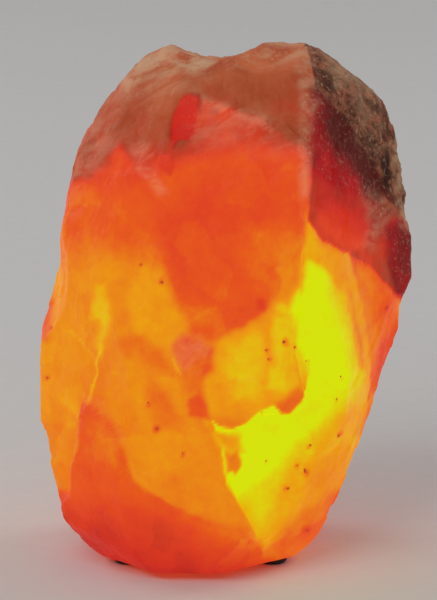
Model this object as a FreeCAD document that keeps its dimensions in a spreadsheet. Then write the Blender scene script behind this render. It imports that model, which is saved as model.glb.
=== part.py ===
"""Salt crystal lamp: a rough-hewn block of rock salt, bored from below, lit from inside.

Row frame: millimetres, +Z up, floor at z = 0, the photographed face towards -Y, +X to its right.
The block stands on four rubber feet. Its bore holds a push-in light fitting: an E14 lamp holder on a
spring clip with two wings that grip the bore, and a clear pygmy bulb that screws out of the holder.
"""

import FreeCAD, Part
import math
import os
import re

import Sketcher

Vector = FreeCAD.Vector
UP = Vector(0, 0, 1)

# Driving dimensions in millimetres, angles in degrees.
SIZES = {
    # salt block
    "block_width": 151.2,
    "block_depth": 131.0,
    "block_height": 208.0,
    "bore_radius": 24.0,
    "bore_depth": 137.0,
    "bore_offset": -10.0,
    "bore_crown": 12.0,
    "mouth_flare": 3.0,
    "channel_width": 9.0,
    "channel_height": 9.0,
    # rubber feet
    "foot_radius": 6.0,
    "foot_height": 3.0,
    "foot_ring": 36.0,
    "foot_bearing": 36.0,
    "foot_edge": 1.0,
    # lamp holder: cap, shell, ring
    "fitting_lift": 22.0,
    "holder_radius": 14.0,
    "cap_height": 15.0,
    "cap_dome": 6.0,
    "cap_wall": 1.8,
    "spigot_height": 4.0,
    "spigot_gap": 0.1,
    "shell_height": 32.0,
    "shell_wall": 1.5,
    "lip_height": 1.5,
    "lip_radius": 8.2,
    "flange_level": 10.0,
    "flange_height": 2.5,
    "flange_radius": 17.0,
    "grip_radius": 0.9,
    "grip_count": 18.0,
    "ring_radius": 18.5,
    "ring_height": 6.0,
    "ring_gap": 0.15,
    "notch_radius": 1.4,
    "notch_place": 0.5,
    "notch_count": 12.0,
    # cord entry
    "cord_bore": 3.3,
    "bush_radius": 5.0,
    "bush_length": 8.0,
    "bush_flange": 6.6,
    "bush_rim": 1.2,
    "nut_width": 14.0,
    "nut_height": 2.6,
    # contact carrier and its metalwork
    "carrier_height": 7.0,
    "carrier_gap": 0.2,
    "slot_width": 5.0,
    "slot_depth": 3.0,
    "slot_reach": 10.4,
    "boss_height": 1.2,
    "sleeve_radius": 7.1,
    "sleeve_wall": 0.35,
    "sleeve_height": 18.5,
    "strip_width": 4.0,
    "strip_thickness": 0.4,
    "terminal_width": 6.0,
    "terminal_length": 5.0,
    "terminal_height": 7.0,
    "terminal_centre": 5.6,
    "wire_hole": 1.3,
    "screw_radius": 1.2,
    "screw_head": 2.0,
    "head_height": 1.2,
    "driver_slot": 0.5,
    "rivet_radius": 0.9,
    "rivet_head": 1.6,
    "rivet_cap": 0.5,
    "rivet_gap": 0.25,
    "rivet_place": -8.2,
    "leaf_knee": -4.5,
    "leaf_tip": 2.2,
    "leaf_rise": 1.9,
    # spring clip
    "clip_thickness": 1.0,
    "clip_radius": 18.0,
    "wing_width": 12.0,
    "wing_thickness": 0.8,
    "tab_reach": 19.8,
    "knuckle_radius": 0.8,
    "knuckle_gap": 0.3,
    "wall_gap": 0.3,
    "knee_drop": 11.0,
    "wing_drop": 24.0,
    "finger_inset": 3.8,
    # bulb
    "contact_gap": 0.1,
    "tip_radius": 2.4,
    "tip_height": 1.2,
    "insulator_height": 3.0,
    "insulator_radius": 4.6,
    "bulb_cap_radius": 6.95,
    "bulb_cap_height": 18.0,
    "bulb_cap_wall": 0.25,
    "bulb_cap_step": 1.2,
    "rim_radius": 7.45,
    "rim_height": 1.0,
    "neck_radius": 6.3,
    "neck_height": 11.0,
    "shoulder_height": 11.0,
    "bulb_radius": 13.0,
    "barrel_height": 9.0,
    "glass_wall": 0.8,
    "cement_height": 6.0,
    "flare_height": 1.0,
    "stem_gap": 0.05,
    "stem_radius": 1.7,
    "stem_height": 15.0,
    "button_radius": 2.3,
    "lead_radius": 0.3,
    "lead_spread": 2.9,
    "lead_height": 26.0,
    "lead_bend": 0.45,
    "filament_radius": 6.0,
    "filament_wire": 0.45,
    "hook_radius": 0.2,
    "hook_spread": 40.0,
}

# The block as drawn: height above the underside, then reach to the left, right, front and back.
SECTIONS = [
    (0, 51, 29, 50, 47),
    (8, 60, 38.5, 57, 52),
    (18, 65.8, 44, 61, 57),
    (53, 75.6, 57.5, 65.5, 63),
    (87, 74.8, 71.5, 65.5, 65.5),
    (113, 70.8, 76.8, 64, 65.5),
    (137, 66.0, 73.3, 60, 62),
    (163, 59.6, 70.2, 53, 54),
    (184, 48.6, 62.8, 43, 41),
    (201, 35.5, 45.0, 29, 15),
    (208, 26, 36, 10, 2),
]
FACES_PER_BAND = 8
FACE_WANDER = 13.0  # degrees that a cleavage face's bearing strays from even spacing

# Single cleavage faces: a point on the face, then the bearing and rise of its outward normal.
CLEAVAGES = [
    ((34, -50, 150), -38, 9),  # upper right face, behind the long ridge
    ((-32, -52, 150), 238, 14),  # upper left shoulder
    ((0, -55, 150), 268, 11),  # upper front plate
    ((-14, -63, 60), 262, -4),  # lower front slab
    ((-52, 34, 70), 146, -3),  # rear left face
    ((30, 55, 110), 66, 8),  # rear face
    ((48, 38, 70), 40, -14),  # rear right undercut
    ((-26, 46, 160), 122, 22),  # rear crown slope
    ((13.5, -36.5, 0), -50, -38),  # break under the right front
]

# Chips that break up the large faces, laid on a spiral from the foot to the crown.
CHIP_COUNT = 60
CHIP_TURN = 137.5  # degrees from one chip to the next
CHIP_LOWEST, CHIP_HIGHEST = 14.0, 196.0
CHIP_DEPTH = 0.5
CHIP_TILT = 3.0  # degrees that a chip leans away from the face it breaks

# Conchoidal bites: centre and radius of the ball that each hollow fracture face belongs to.
BITES = [
    ((36, 136, 80), 82),
    ((-84, 96, 128), 76),
    ((94, 84, 150), 66),
    ((-20, 104, 20), 58),
    ((-66, -66, 196), 42),
    ((2, 96, 196), 58),
]

# Hollow breaks that run across the block: a point on the axis, its bearing and rise, and the radius.
TROUGHS = [
    ((-3.5, 0, 231), 84, -10, 29),  # notch between the two crowns
    ((-122.5, 0, 121), 96, 6, 56),  # hollow on the left flank
    ((-109.5, 0, 34), 86, -8, 40),  # break above the left foot
    ((101, 0, 92), 92, 8, 30),  # break under the right knob
]

# Fracture steps, drawn as seen from the front and a little above: outline as (across, up from the table) on
# the drawing, then the faces that the step leaves, each as a point and its normal's bearing and rise.
STEPS = {
    "crown": (
        [(-19, 181), (-11, 182.3), (-9, 182), (-1.2, 178.2), (10.2, 175), (15, 173), (20, 169), (24.4, 170),
         (29, 166), (33.3, 162), (36, 180.3), (37, 190.4), (35.3, 198.5), (31.7, 205), (31.7, 226),
         (-22, 226), (-22, 186)],
        [((8, -39, 185), 268, 20)],
    ),
    "crevice": (
        [(-19, 181), (-13.4, 183), (-10.6, 182), (-11.4, 175), (-13, 167.7), (-14.2, 165.2),
         (-20, 164.8), (-22, 166.5), (-22, 171)],
        [((-16, -37.5, 183), 262, 24)],
    ),
    "hollow": (
        [(32.5, 131.5), (38.6, 124.2), (47.5, 120.6), (58, 114), (67.8, 104.3), (84, 100), (84, -18),
         (18, -18), (15.8, -1.6), (13.4, 6), (8.5, 14.6), (4.5, 22), (0.8, 27.2), (-1.6, 36), (-6.5, 52.8),
         (-4.5, 49.5), (2.8, 48.7), (8.5, 52), (12.6, 55.6), (22.3, 56), (25.2, 55.2), (32, 60.5),
         (29.2, 70.6), (26.8, 82.8), (26.8, 94.2), (29.2, 105.6), (30.9, 122.2)],
        [((10, -54, 60), -69, -3), ((54, -31, 80), -24, -10)],
    ),
    "window": (
        [(-84, 152), (-30.5, 147.8), (-26.4, 129.5), (-21.5, 113.3), (-19, 103), (-14.2, 93), (-17, 84),
         (-10.2, 74.7), (-8, 58.5), (-6.5, 52.8), (-1.6, 36), (0.8, 27.2), (4.5, 22), (8.5, 14.6),
         (13.4, 6), (12.2, 3.7), (5.7, 9), (-8, 11.4), (-14.2, 14.2), (-20.3, 16.6), (-26, 21.5),
         (-32, 23.5), (-37.4, 28.8), (-39.4, 33.7), (-41, 41), (-46, 49.5), (-51.6, 57.2), (-57.2, 59.7),
         (-59, 48.3), (-61, 38.2), (-62, 24), (-68, 18), (-84, 15.8)],
        [((-26, -57.5, 70), 254, 1), ((-52, -39, 80), 222, -2)],
    ),
}
DRAWN_FROM = 14.0  # degrees above level that the drawing looks from


def make_sheet(doc):
    """Spreadsheet of plain numbers, one named cell for each driving dimension."""
    sheet = doc.addObject("Spreadsheet::Sheet", "Sizes")
    for row, (name, value) in enumerate(SIZES.items(), start=1):
        sheet.set(f"A{row}", name)
        sheet.set(f"B{row}", str(value))
        sheet.setAlias(f"B{row}", name)
    doc.recompute()
    return sheet


DOC = FreeCAD.newDocument("salt_crystal_lamp")
SHEET = make_sheet(DOC)


def bind(text):
    """The expression with each size's name pointed at its cell."""
    return re.sub(r"[a-z]+_[a-z_]+", lambda found: "Sizes." + found.group(), text)


def number(text):
    """The value that an expression of sizes has now."""
    return float(SHEET.evalExpression(bind(text)))


def plus(*terms):
    """A sum of expressions."""
    return "(" + " + ".join(terms) + ")"


def minus(first, *terms):
    """An expression less others."""
    return "(" + " - ".join((first,) + terms) + ")"


# Levels above the floor, each stacked on the one it stands on.
UNDERSIDE = "foot_height"
CAP_BOTTOM = plus(UNDERSIDE, "fitting_lift")
SHELL_BOTTOM = plus(CAP_BOTTOM, "cap_height")
CARRIER_BOTTOM = plus(SHELL_BOTTOM, "spigot_height")
CARRIER_TOP = plus(CARRIER_BOTTOM, "carrier_height")
SHELL_TOP = plus(SHELL_BOTTOM, "shell_height")
FLANGE_TOP = plus(SHELL_BOTTOM, "flange_level", "flange_height")
CLIP_TOP = plus(FLANGE_TOP, "clip_thickness")
SLOT_FLOOR = minus(CARRIER_TOP, "slot_depth")
BOSS_TOP = plus(SLOT_FLOOR, "boss_height")
LEAF_TOP = plus(BOSS_TOP, "leaf_rise", "strip_thickness")
TIP_BOTTOM = plus(LEAF_TOP, "contact_gap")
TIP_TOP = plus(TIP_BOTTOM, "tip_height")
BULB_CAP_BOTTOM = plus(TIP_TOP, "insulator_height")
BULB_CAP_TOP = plus(BULB_CAP_BOTTOM, "bulb_cap_height")
NECK_BOTTOM = minus(BULB_CAP_TOP, "neck_height")
SHOULDER_BOTTOM = plus(BULB_CAP_TOP, "rim_height")
BARREL_BOTTOM = plus(SHOULDER_BOTTOM, "shoulder_height")
BARREL_TOP = plus(BARREL_BOTTOM, "barrel_height")
SHELL_BORE = minus("holder_radius", "shell_wall")
CARRIER_RADIUS = minus(SHELL_BORE, "carrier_gap")
SPIGOT_RADIUS = minus(SHELL_BORE, "spigot_gap")
STRIP_OUTSIDE = minus(SPIGOT_RADIUS, "cap_wall", "carrier_gap")
STRIP_INSIDE = minus(STRIP_OUTSIDE, "strip_thickness")


def new_body(label):
    """An empty body on the bore's axis, where all of the light fitting is drawn."""
    body = DOC.addObject("PartDesign::Body", label)
    body.Label = label
    body.setExpression("Placement.Base.x", bind("bore_offset"))
    return body


def new_sketch(body, role, level=None):
    """An empty sketch on one of the body's own planes, raised to a level where one is given."""
    sketch = body.newObject("Sketcher::SketchObject", body.Name + "_sketch")
    plane = [f for f in body.Origin.OriginFeatures if f.Role == role][0]
    sketch.AttachmentSupport = [(plane, "")]
    sketch.MapMode = "FlatFace"
    if level:
        sketch.setExpression("AttachmentOffset.Base.z", bind(level))
    return sketch


def fix_coordinate(sketch, kind, axis, edge, end, text, name):
    """Ties one coordinate of a point to an expression, or puts the point on the axis where it is 0."""
    if text == "0":
        sketch.addConstraint(Sketcher.Constraint("PointOnObject", edge, end, axis))
        return
    index = sketch.addConstraint(Sketcher.Constraint(kind, -1, 1, edge, end, number(text)))
    sketch.renameConstraint(index, name)
    sketch.setExpression("Constraints." + name, bind(text))


def arc_between(start, end, radius, turn):
    """The shorter arc between two points, centre to the left for turn 1 and to the right for -1."""
    chord = end - start
    half = chord.Length / 2
    side = UP.cross(chord).normalize() * turn
    centre = (start + end) * 0.5 + side * math.sqrt(max(radius * radius - half * half, 0))
    first, last = (start, end) if turn > 0 else (end, start)
    angles = [math.atan2(p.y - centre.y, p.x - centre.x) for p in (first, last)]
    return Part.ArcOfCircle(Part.Circle(centre, UP, radius), angles[0], angles[1])


def draw_outline(sketch, corners):
    """A closed outline. A corner is (x, y), or (x, y, radius, turn) where an arc leads to it."""
    places = [Vector(number(c[0]), number(c[1]), 0) for c in corners]
    ends = []
    for i, corner in enumerate(corners):
        start, end = places[i - 1], places[i]
        if len(corner) == 2:
            edge = sketch.addGeometry(Part.LineSegment(start, end))
            ends.append((edge, 1, 2))
            continue
        edge = sketch.addGeometry(arc_between(start, end, number(corner[2]), corner[3]))
        ends.append((edge, 1, 2) if corner[3] > 0 else (edge, 2, 1))
        index = sketch.addConstraint(Sketcher.Constraint("Radius", edge, number(corner[2])))
        sketch.renameConstraint(index, f"radius_{i}")
        sketch.setExpression(f"Constraints.radius_{i}", bind(corner[2]))
    for i, (edge, first, last) in enumerate(ends):
        before, _, before_last = ends[i - 1]
        sketch.addConstraint(Sketcher.Constraint("Coincident", before, before_last, edge, first))
        fix_coordinate(sketch, "DistanceX", -2, edge, last, corners[i][0], f"across_{i}")
        fix_coordinate(sketch, "DistanceY", -1, edge, last, corners[i][1], f"along_{i}")


def draw_circle(sketch, x, y, radius):
    """A circle whose centre and radius are tied to expressions."""
    edge = sketch.addGeometry(Part.Circle(Vector(number(x), number(y), 0), UP, number(radius)))
    fix_coordinate(sketch, "DistanceX", -2, edge, 3, x, f"across_{edge}")
    fix_coordinate(sketch, "DistanceY", -1, edge, 3, y, f"along_{edge}")
    index = sketch.addConstraint(Sketcher.Constraint("Radius", edge, number(radius)))
    sketch.renameConstraint(index, f"radius_{edge}")
    sketch.setExpression(f"Constraints.radius_{edge}", bind(radius))


def box_corners(left, right, low, high):
    """The four corners of a rectangle."""
    return [(left, low), (right, low), (right, high), (left, high)]


def revolve(body, corners):
    """Turns a half profile, given as (radius, height), round the body's Z axis."""
    sketch = new_sketch(body, "XZ_Plane")
    draw_outline(sketch, corners)
    turned = body.newObject("PartDesign::Revolution", body.Name + "_turned")
    turned.Profile = sketch
    turned.ReferenceAxis = (sketch, ["V_Axis"])
    turned.Angle = 360
    return turned


def turned_piece(label, corners):
    """A piece made by one revolved profile."""
    body = new_body(label)
    revolve(body, corners)
    return body


def pad(body, sketch, length, symmetric=False):
    """Extrudes a sketch, to both sides equally where symmetric."""
    feature = body.newObject("PartDesign::Pad", body.Name + "_pad")
    feature.Profile = sketch
    feature.setExpression("Length", bind(length))
    if symmetric:
        feature.SideType = "Symmetric"
    return feature


def pocket(body, sketch, length, symmetric=False, reverse=False):
    """Cuts a sketch into the body, to both sides equally where symmetric."""
    DOC.recompute()
    feature = body.newObject("PartDesign::Pocket", body.Name + "_pocket")
    feature.Profile = sketch
    feature.setExpression("Length", bind(length))
    feature.Reversed = reverse
    if symmetric:
        feature.SideType = "Symmetric"
    return feature


def repeat_round(body, feature, count):
    """Repeats a feature evenly round the body's Z axis."""
    DOC.recompute()
    pattern = body.newObject("PartDesign::PolarPattern", body.Name + "_pattern")
    pattern.Originals = [feature]
    axis = [f for f in body.Origin.OriginFeatures if f.Role == "Z_Axis"][0]
    pattern.Axis = (axis, [""])
    pattern.Angle = 360
    pattern.setExpression("Occurrences", bind(count))
    body.Tip = pattern
    return pattern


# ---------------------------------------------------------------- salt block


def direction(bearing, rise):
    """Unit vector at a bearing in degrees from +X, anticlockwise from above, and a rise above level."""
    flat = math.cos(math.radians(rise))
    return Vector(
        flat * math.cos(math.radians(bearing)),
        flat * math.sin(math.radians(bearing)),
        math.sin(math.radians(rise)),
    )


def drawn_scale():
    """How much larger than the drawing the block is along X, Y and Z."""
    width = max(s[1] for s in SECTIONS) + max(s[2] for s in SECTIONS)
    depth = max(s[3] for s in SECTIONS) + max(s[4] for s in SECTIONS)
    return Vector(
        number("block_width") / width,
        number("block_depth") / depth,
        number("block_height") / SECTIONS[-1][0],
    )


def in_block(point, scale):
    """A point of the drawing in the row frame."""
    return Vector(point[0] * scale.x, point[1] * scale.y, point[2] * scale.z + number(UNDERSIDE))


def section_reach(section, bearing):
    """How far a section's ellipse reaches towards a bearing."""
    _, left, right, front, back = section
    across, along = math.cos(math.radians(bearing)), math.sin(math.radians(bearing))
    centre = (right - left) / 2 * across + (back - front) / 2 * along
    return centre + math.hypot((right + left) / 2 * across, (back + front) / 2 * along)


def band_faces():
    """Planes that touch each pair of neighbouring sections, as a point and a normal in the drawing."""
    for band, (low, high) in enumerate(zip(SECTIONS, SECTIONS[1:])):
        for k in range(FACES_PER_BAND):
            bearing = 360 * k / FACES_PER_BAND
            if bearing % 90:
                bearing += FACE_WANDER * math.sin(2.4 * k + 1.7 * band)
            outer, upper = section_reach(low, bearing), section_reach(high, bearing)
            rise = math.degrees(math.atan2(outer - upper, high[0] - low[0]))
            level = direction(bearing, 0)
            yield (level.x * outer, level.y * outer, low[0]), bearing, rise


def chip_faces(faces):
    """Small faces, each a little under the large face at its place and leaning away from it."""
    planes = []
    for point, bearing, rise in faces:
        normal = direction(bearing, rise)
        planes.append((normal, normal.dot(Vector(*point)), bearing, rise))
    for k in range(CHIP_COUNT):
        height = CHIP_LOWEST + (CHIP_HIGHEST - CHIP_LOWEST) * (k + 0.5) / CHIP_COUNT
        start, ray = Vector(0, 0, height), direction(CHIP_TURN * k, 0)
        met = [
            ((offset - normal.dot(start)) / normal.dot(ray), bearing, rise)
            for normal, offset, bearing, rise in planes if normal.dot(ray) > 0
        ]
        reach, bearing, rise = min(met)
        place = start + ray * (reach - CHIP_DEPTH)
        lean = 2.4 * k
        yield tuple(place), bearing + CHIP_TILT * math.cos(lean), rise + CHIP_TILT * math.sin(lean)


def outside_of(point, bearing, rise, scale):
    """A block of space beyond a cleavage face, drawn at the drawing's size and set at the block's."""
    reach = 3 * number("block_height")
    normal = direction(bearing, rise)
    normal = Vector(normal.x / scale.x, normal.y / scale.y, normal.z / scale.z).normalize()
    space = Part.makeBox(2 * reach, 2 * reach, reach, Vector(-reach, -reach, 0))
    space.Placement = FreeCAD.Placement(in_block(point, scale), FreeCAD.Rotation(UP, normal))
    return space


def trough(centre, bearing, rise, radius, scale):
    """A long round bar across the block, on an axis through the centre given."""
    along = direction(bearing, rise)
    length = 2 * number("block_width")
    start = in_block(centre, scale) - along * (length / 2)
    return Part.makeCylinder(radius * scale.z, length, start, along)


def step_prism(outline, scale):
    """Everything from the block's middle towards the eye within a fracture step's outline."""
    level = math.cos(math.radians(DRAWN_FROM))
    corners = [Vector(across * scale.x, 0, up / level * scale.z) for across, up in outline]
    sight = direction(270, DRAWN_FROM) * (2 * number("block_depth"))
    return Part.Face(Part.makePolygon(corners + corners[:1])).extrude(sight)


def hewn_block():
    """The rough block: cleavage faces round the drawn sections, then steps and hollow bites."""
    scale = drawn_scale()
    width, depth = number("block_width"), number("block_depth")
    corner = Vector(-width, -depth, number(UNDERSIDE))
    block = Part.makeBox(2 * width, 2 * depth, number("block_height"), corner)
    faces = list(band_faces()) + CLEAVAGES
    for point, bearing, rise in faces + list(chip_faces(faces)):
        block = block.cut(outside_of(point, bearing, rise, scale))
    for centre, radius in BITES:
        block = block.cut(Part.makeSphere(radius * scale.z, in_block(centre, scale)))
    for centre, bearing, rise, radius in TROUGHS:
        block = block.cut(trough(centre, bearing, rise, radius, scale))
    for outline, floors in STEPS.values():
        prism = step_prism(outline, scale)
        for floor in floors:
            block = block.cut(prism.common(outside_of(*floor, scale)))
    return block


def primitive(kind, name, **sizes):
    """A Part primitive whose properties, with __ for a dot, are tied to expressions."""
    solid = DOC.addObject(kind, name)
    for key, text in sizes.items():
        solid.setExpression(key.replace("__", "."), bind(text))
    return solid


def cut(name, base, *tools):
    """Cuts tools from a base one after another and returns the last cut."""
    for i, tool in enumerate(tools):
        step = DOC.addObject("Part::Cut", f"{name}_{i}")
        step.Base, step.Tool = base, tool
        base = step
    base.Label = name
    return base


def salt_block():
    """The hewn block with its lamp bore, flared mouth and cord channel to the back."""
    rough = DOC.addObject("Part::Feature", "rough_block")
    rough.Shape = hewn_block()
    bore = primitive(
        "Part::Cylinder", "bore", Radius="bore_radius", Height=minus("bore_depth", "bore_crown"),
        Placement__Base__x="bore_offset", Placement__Base__z=UNDERSIDE,
    )
    crown = primitive(
        "Part::Cone", "bore_end", Radius1="bore_radius", Radius2=minus("bore_radius", "bore_crown"),
        Height="bore_crown", Placement__Base__x="bore_offset",
        Placement__Base__z=plus(UNDERSIDE, minus("bore_depth", "bore_crown")),
    )
    mouth = primitive(
        "Part::Cone", "mouth", Radius1=plus("bore_radius", "mouth_flare"), Radius2="bore_radius",
        Height="mouth_flare", Placement__Base__x="bore_offset", Placement__Base__z=UNDERSIDE,
    )
    channel = primitive(
        "Part::Box", "channel", Length="channel_width", Width="block_depth", Height="channel_height",
        Placement__Base__x=minus("bore_offset", "channel_width / 2"), Placement__Base__z=UNDERSIDE,
    )
    return cut("salt_block", rough, bore, crown, mouth, channel)


def rubber_feet():
    """Four turned bumpers stuck to the underside."""
    feet = DOC.addObject("Part::Compound", "rubber_feet")
    solids = []
    for i, mirror in enumerate([(1, 1), (-1, 1), (-1, -1), (1, -1)]):
        across = plus("bore_offset", f"{mirror[0]} * foot_ring * cos(foot_bearing * 1deg)")
        along = f"{mirror[1]} * foot_ring * sin(foot_bearing * 1deg)"
        post = primitive(
            "Part::Cylinder", f"foot_post_{i}", Radius="foot_radius",
            Height=minus("foot_height", "foot_edge"),
            Placement__Base__x=across, Placement__Base__y=along, Placement__Base__z="foot_edge",
        )
        sole = primitive(
            "Part::Cone", f"foot_sole_{i}", Radius1=minus("foot_radius", "foot_edge"), Radius2="foot_radius",
            Height="foot_edge", Placement__Base__x=across, Placement__Base__y=along,
        )
        foot = DOC.addObject("Part::Fuse", f"foot_{i}")
        foot.Base, foot.Tool = post, sole
        solids.append(foot)
    feet.Links = solids
    return feet


# ---------------------------------------------------------------- lamp holder


def holder_cap():
    """Domed cap that closes the holder from below, with a spigot into the shell."""
    wall, inside = "cap_wall", minus("holder_radius", "cap_wall")
    return turned_piece("holder_cap", [
        ("bush_radius", CAP_BOTTOM),
        (minus("holder_radius", "cap_dome"), CAP_BOTTOM),
        ("holder_radius", plus(CAP_BOTTOM, "cap_dome"), "cap_dome", 1),
        ("holder_radius", SHELL_BOTTOM),
        (SPIGOT_RADIUS, SHELL_BOTTOM),
        (SPIGOT_RADIUS, CARRIER_BOTTOM),
        (minus(SPIGOT_RADIUS, wall), CARRIER_BOTTOM),
        (minus(SPIGOT_RADIUS, wall), SHELL_BOTTOM),
        (inside, minus(SHELL_BOTTOM, wall)),
        (inside, plus(CAP_BOTTOM, "cap_dome")),
        (minus("holder_radius", "cap_dome"), plus(CAP_BOTTOM, wall), minus("cap_dome", wall), -1),
        ("bush_radius", plus(CAP_BOTTOM, wall)),
    ])


def cord_bush():
    """Flanged bush through the cap that the supply cord comes in by."""
    return turned_piece("cord_bush", [
        ("cord_bore", minus(CAP_BOTTOM, "bush_rim")),
        ("bush_flange", minus(CAP_BOTTOM, "bush_rim")),
        ("bush_flange", CAP_BOTTOM),
        ("bush_radius", CAP_BOTTOM),
        ("bush_radius", minus(plus(CAP_BOTTOM, "bush_length"), "bush_rim")),
        ("cord_bore", minus(plus(CAP_BOTTOM, "bush_length"), "bush_rim")),
    ])


def bush_nut():
    """Thin hexagon nut that holds the bush from inside the cap."""
    body = new_body("bush_nut")
    sketch = new_sketch(body, "XY_Plane", plus(CAP_BOTTOM, "cap_wall"))
    corners = []
    for k in range(6):
        angle = 60 * k + 30
        corners.append((
            f"nut_width / 2 * {math.cos(math.radians(angle)) / math.cos(math.radians(30)):.9f}"
            if k % 3 != 1 else "0",
            f"nut_width / 2 * {math.sin(math.radians(angle)) / math.cos(math.radians(30)):.9f}",
        ))
    draw_outline(sketch, corners)
    draw_circle(sketch, "0", "0", "bush_radius")
    pad(body, sketch, "nut_height")
    return body


def holder_shell():
    """Tubular shell with a lip at its mouth, a clip flange and a scalloped skirt."""
    body = new_body("holder_shell")
    revolve(body, [
        (SHELL_BORE, SHELL_BOTTOM),
        ("holder_radius", SHELL_BOTTOM),
        ("holder_radius", minus(FLANGE_TOP, "flange_height", "shell_wall")),
        ("flange_radius", minus(FLANGE_TOP, "flange_height")),
        ("flange_radius", FLANGE_TOP),
        ("holder_radius", FLANGE_TOP),
        ("holder_radius", SHELL_TOP),
        ("lip_radius", SHELL_TOP),
        ("lip_radius", minus(SHELL_TOP, "lip_height")),
        (SHELL_BORE, minus(SHELL_TOP, "lip_height")),
    ])
    DOC.recompute()
    scallop = new_sketch(body, "XY_Plane", SHELL_BOTTOM)
    draw_circle(scallop, plus("holder_radius", "grip_radius / 2"), "0", "grip_radius")
    groove = pocket(body, scallop, minus("flange_level", "2 * shell_wall"), reverse=True)
    repeat_round(body, groove, "grip_count")
    return body


def holder_ring():
    """Notched ring nut that clamps the spring clip on the shell's flange."""
    body = new_body("holder_ring")
    inside = plus("holder_radius", "ring_gap")
    edge = "shell_wall / 2"
    top = plus(CLIP_TOP, "ring_height")
    revolve(body, [
        (inside, CLIP_TOP),
        ("ring_radius", CLIP_TOP),
        ("ring_radius", minus(top, edge)),
        (minus("ring_radius", edge), top),
        (inside, top),
    ])
    DOC.recompute()
    sketch = new_sketch(body, "XY_Plane", CLIP_TOP)
    draw_circle(sketch, plus("ring_radius", "notch_place"), "0", "notch_radius")
    notch = pocket(body, sketch, "ring_height", reverse=True)
    repeat_round(body, notch, "notch_count")
    return body


def contact_carrier():
    """Ceramic disc with a slot for the centre contact, a notch for the side strip and a rivet hole."""
    body = new_body("contact_carrier")
    revolve(body, [
        ("0", CARRIER_BOTTOM),
        (CARRIER_RADIUS, CARRIER_BOTTOM),
        (CARRIER_RADIUS, CARRIER_TOP),
        ("0", CARRIER_TOP),
    ])
    DOC.recompute()
    boss_end = plus("rivet_place", "rivet_head")
    slot = new_sketch(body, "XZ_Plane")
    draw_outline(slot, [
        ("-slot_reach", BOSS_TOP),
        (boss_end, BOSS_TOP),
        (boss_end, SLOT_FLOOR),
        ("slot_reach / 2", SLOT_FLOOR),
        ("slot_reach / 2", plus(CARRIER_TOP, "slot_depth")),
        ("-slot_reach", plus(CARRIER_TOP, "slot_depth")),
    ])
    pocket(body, slot, "slot_width", symmetric=True)
    DOC.recompute()
    notch = new_sketch(body, "XZ_Plane")
    draw_outline(notch, box_corners(
        STRIP_INSIDE, plus(CARRIER_RADIUS, "strip_thickness"), minus(CARRIER_BOTTOM, "strip_thickness"),
        plus(CARRIER_TOP, "strip_thickness"),
    ))
    pocket(body, notch, "slot_width", symmetric=True)
    DOC.recompute()
    hole = new_sketch(body, "XY_Plane", CARRIER_BOTTOM)
    draw_circle(hole, "rivet_place", "0", "rivet_radius")
    pocket(body, hole, "carrier_height", reverse=True)
    return body


def screw_contact():
    """Metal sleeve that the bulb's cap screws into."""
    return turned_piece("screw_contact", [
        ("sleeve_radius", CARRIER_TOP),
        (plus("sleeve_radius", "sleeve_wall"), CARRIER_TOP),
        (plus("sleeve_radius", "sleeve_wall"), plus(CARRIER_TOP, "sleeve_height")),
        ("sleeve_radius", plus(CARRIER_TOP, "sleeve_height")),
    ])


def side_contact():
    """Bent strip from the sleeve's foot, down the carrier's notch, to the neutral terminal."""
    body = new_body("side_contact")
    foot = plus("sleeve_radius", "sleeve_wall")
    end = plus("terminal_centre", "terminal_length / 2")
    sketch = new_sketch(body, "XZ_Plane")
    draw_outline(sketch, [
        (foot, CARRIER_TOP),
        (STRIP_INSIDE, CARRIER_TOP),
        (STRIP_INSIDE, CARRIER_BOTTOM),
        (end, CARRIER_BOTTOM),
        (end, minus(CARRIER_BOTTOM, "strip_thickness")),
        (STRIP_OUTSIDE, minus(CARRIER_BOTTOM, "strip_thickness")),
        (STRIP_OUTSIDE, plus(CARRIER_TOP, "strip_thickness")),
        (foot, plus(CARRIER_TOP, "strip_thickness")),
    ])
    pad(body, sketch, "strip_width", symmetric=True)
    return body


def terminal_block(side):
    """One brass terminal under the carrier, with an upright wire hole and a screw hole from its side."""
    body = new_body(f"terminal_{'left' if side < 0 else 'right'}")
    centre = f"{side} * terminal_centre"
    low = minus(CARRIER_BOTTOM, "terminal_height")
    sketch = new_sketch(body, "XY_Plane", low)
    draw_outline(sketch, box_corners(
        minus(centre, "terminal_length / 2"), plus(centre, "terminal_length / 2"),
        "-terminal_width / 2", "terminal_width / 2",
    ))
    draw_circle(sketch, centre, "0", "wire_hole")
    pad(body, sketch, "terminal_height")
    DOC.recompute()
    hole = new_sketch(body, "YZ_Plane")
    draw_circle(hole, "0", plus(low, "terminal_height / 2"), "screw_radius")
    pocket(body, hole, plus("terminal_centre", "terminal_length"), reverse=side > 0)
    return body


def terminal_screw(side):
    """Cheese-head screw that pinches a wire in its terminal."""
    name = "left" if side < 0 else "right"
    level = minus(CARRIER_BOTTOM, "terminal_height / 2")
    face = "terminal_centre + terminal_length / 2"
    body = new_body(f"terminal_screw_{name}")
    shank = new_sketch(body, "YZ_Plane", f"{side} * (terminal_centre + wire_hole)")
    draw_circle(shank, "0", level, "screw_radius")
    feature = pad(body, shank, "terminal_length / 2 - wire_hole")
    feature.Reversed = side < 0
    head = new_sketch(body, "YZ_Plane", f"{side} * ({face})")
    draw_circle(head, "0", level, "screw_head")
    feature = pad(body, head, "head_height")
    feature.Reversed = side < 0
    DOC.recompute()
    slot = new_sketch(body, "YZ_Plane", f"{side} * ({face} + head_height)")
    draw_outline(slot, box_corners(
        "-screw_head * 2", "screw_head * 2", minus(level, "driver_slot / 2"), plus(level, "driver_slot / 2"),
    ))
    pocket(body, slot, "head_height / 2", reverse=side < 0)
    return body


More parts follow.
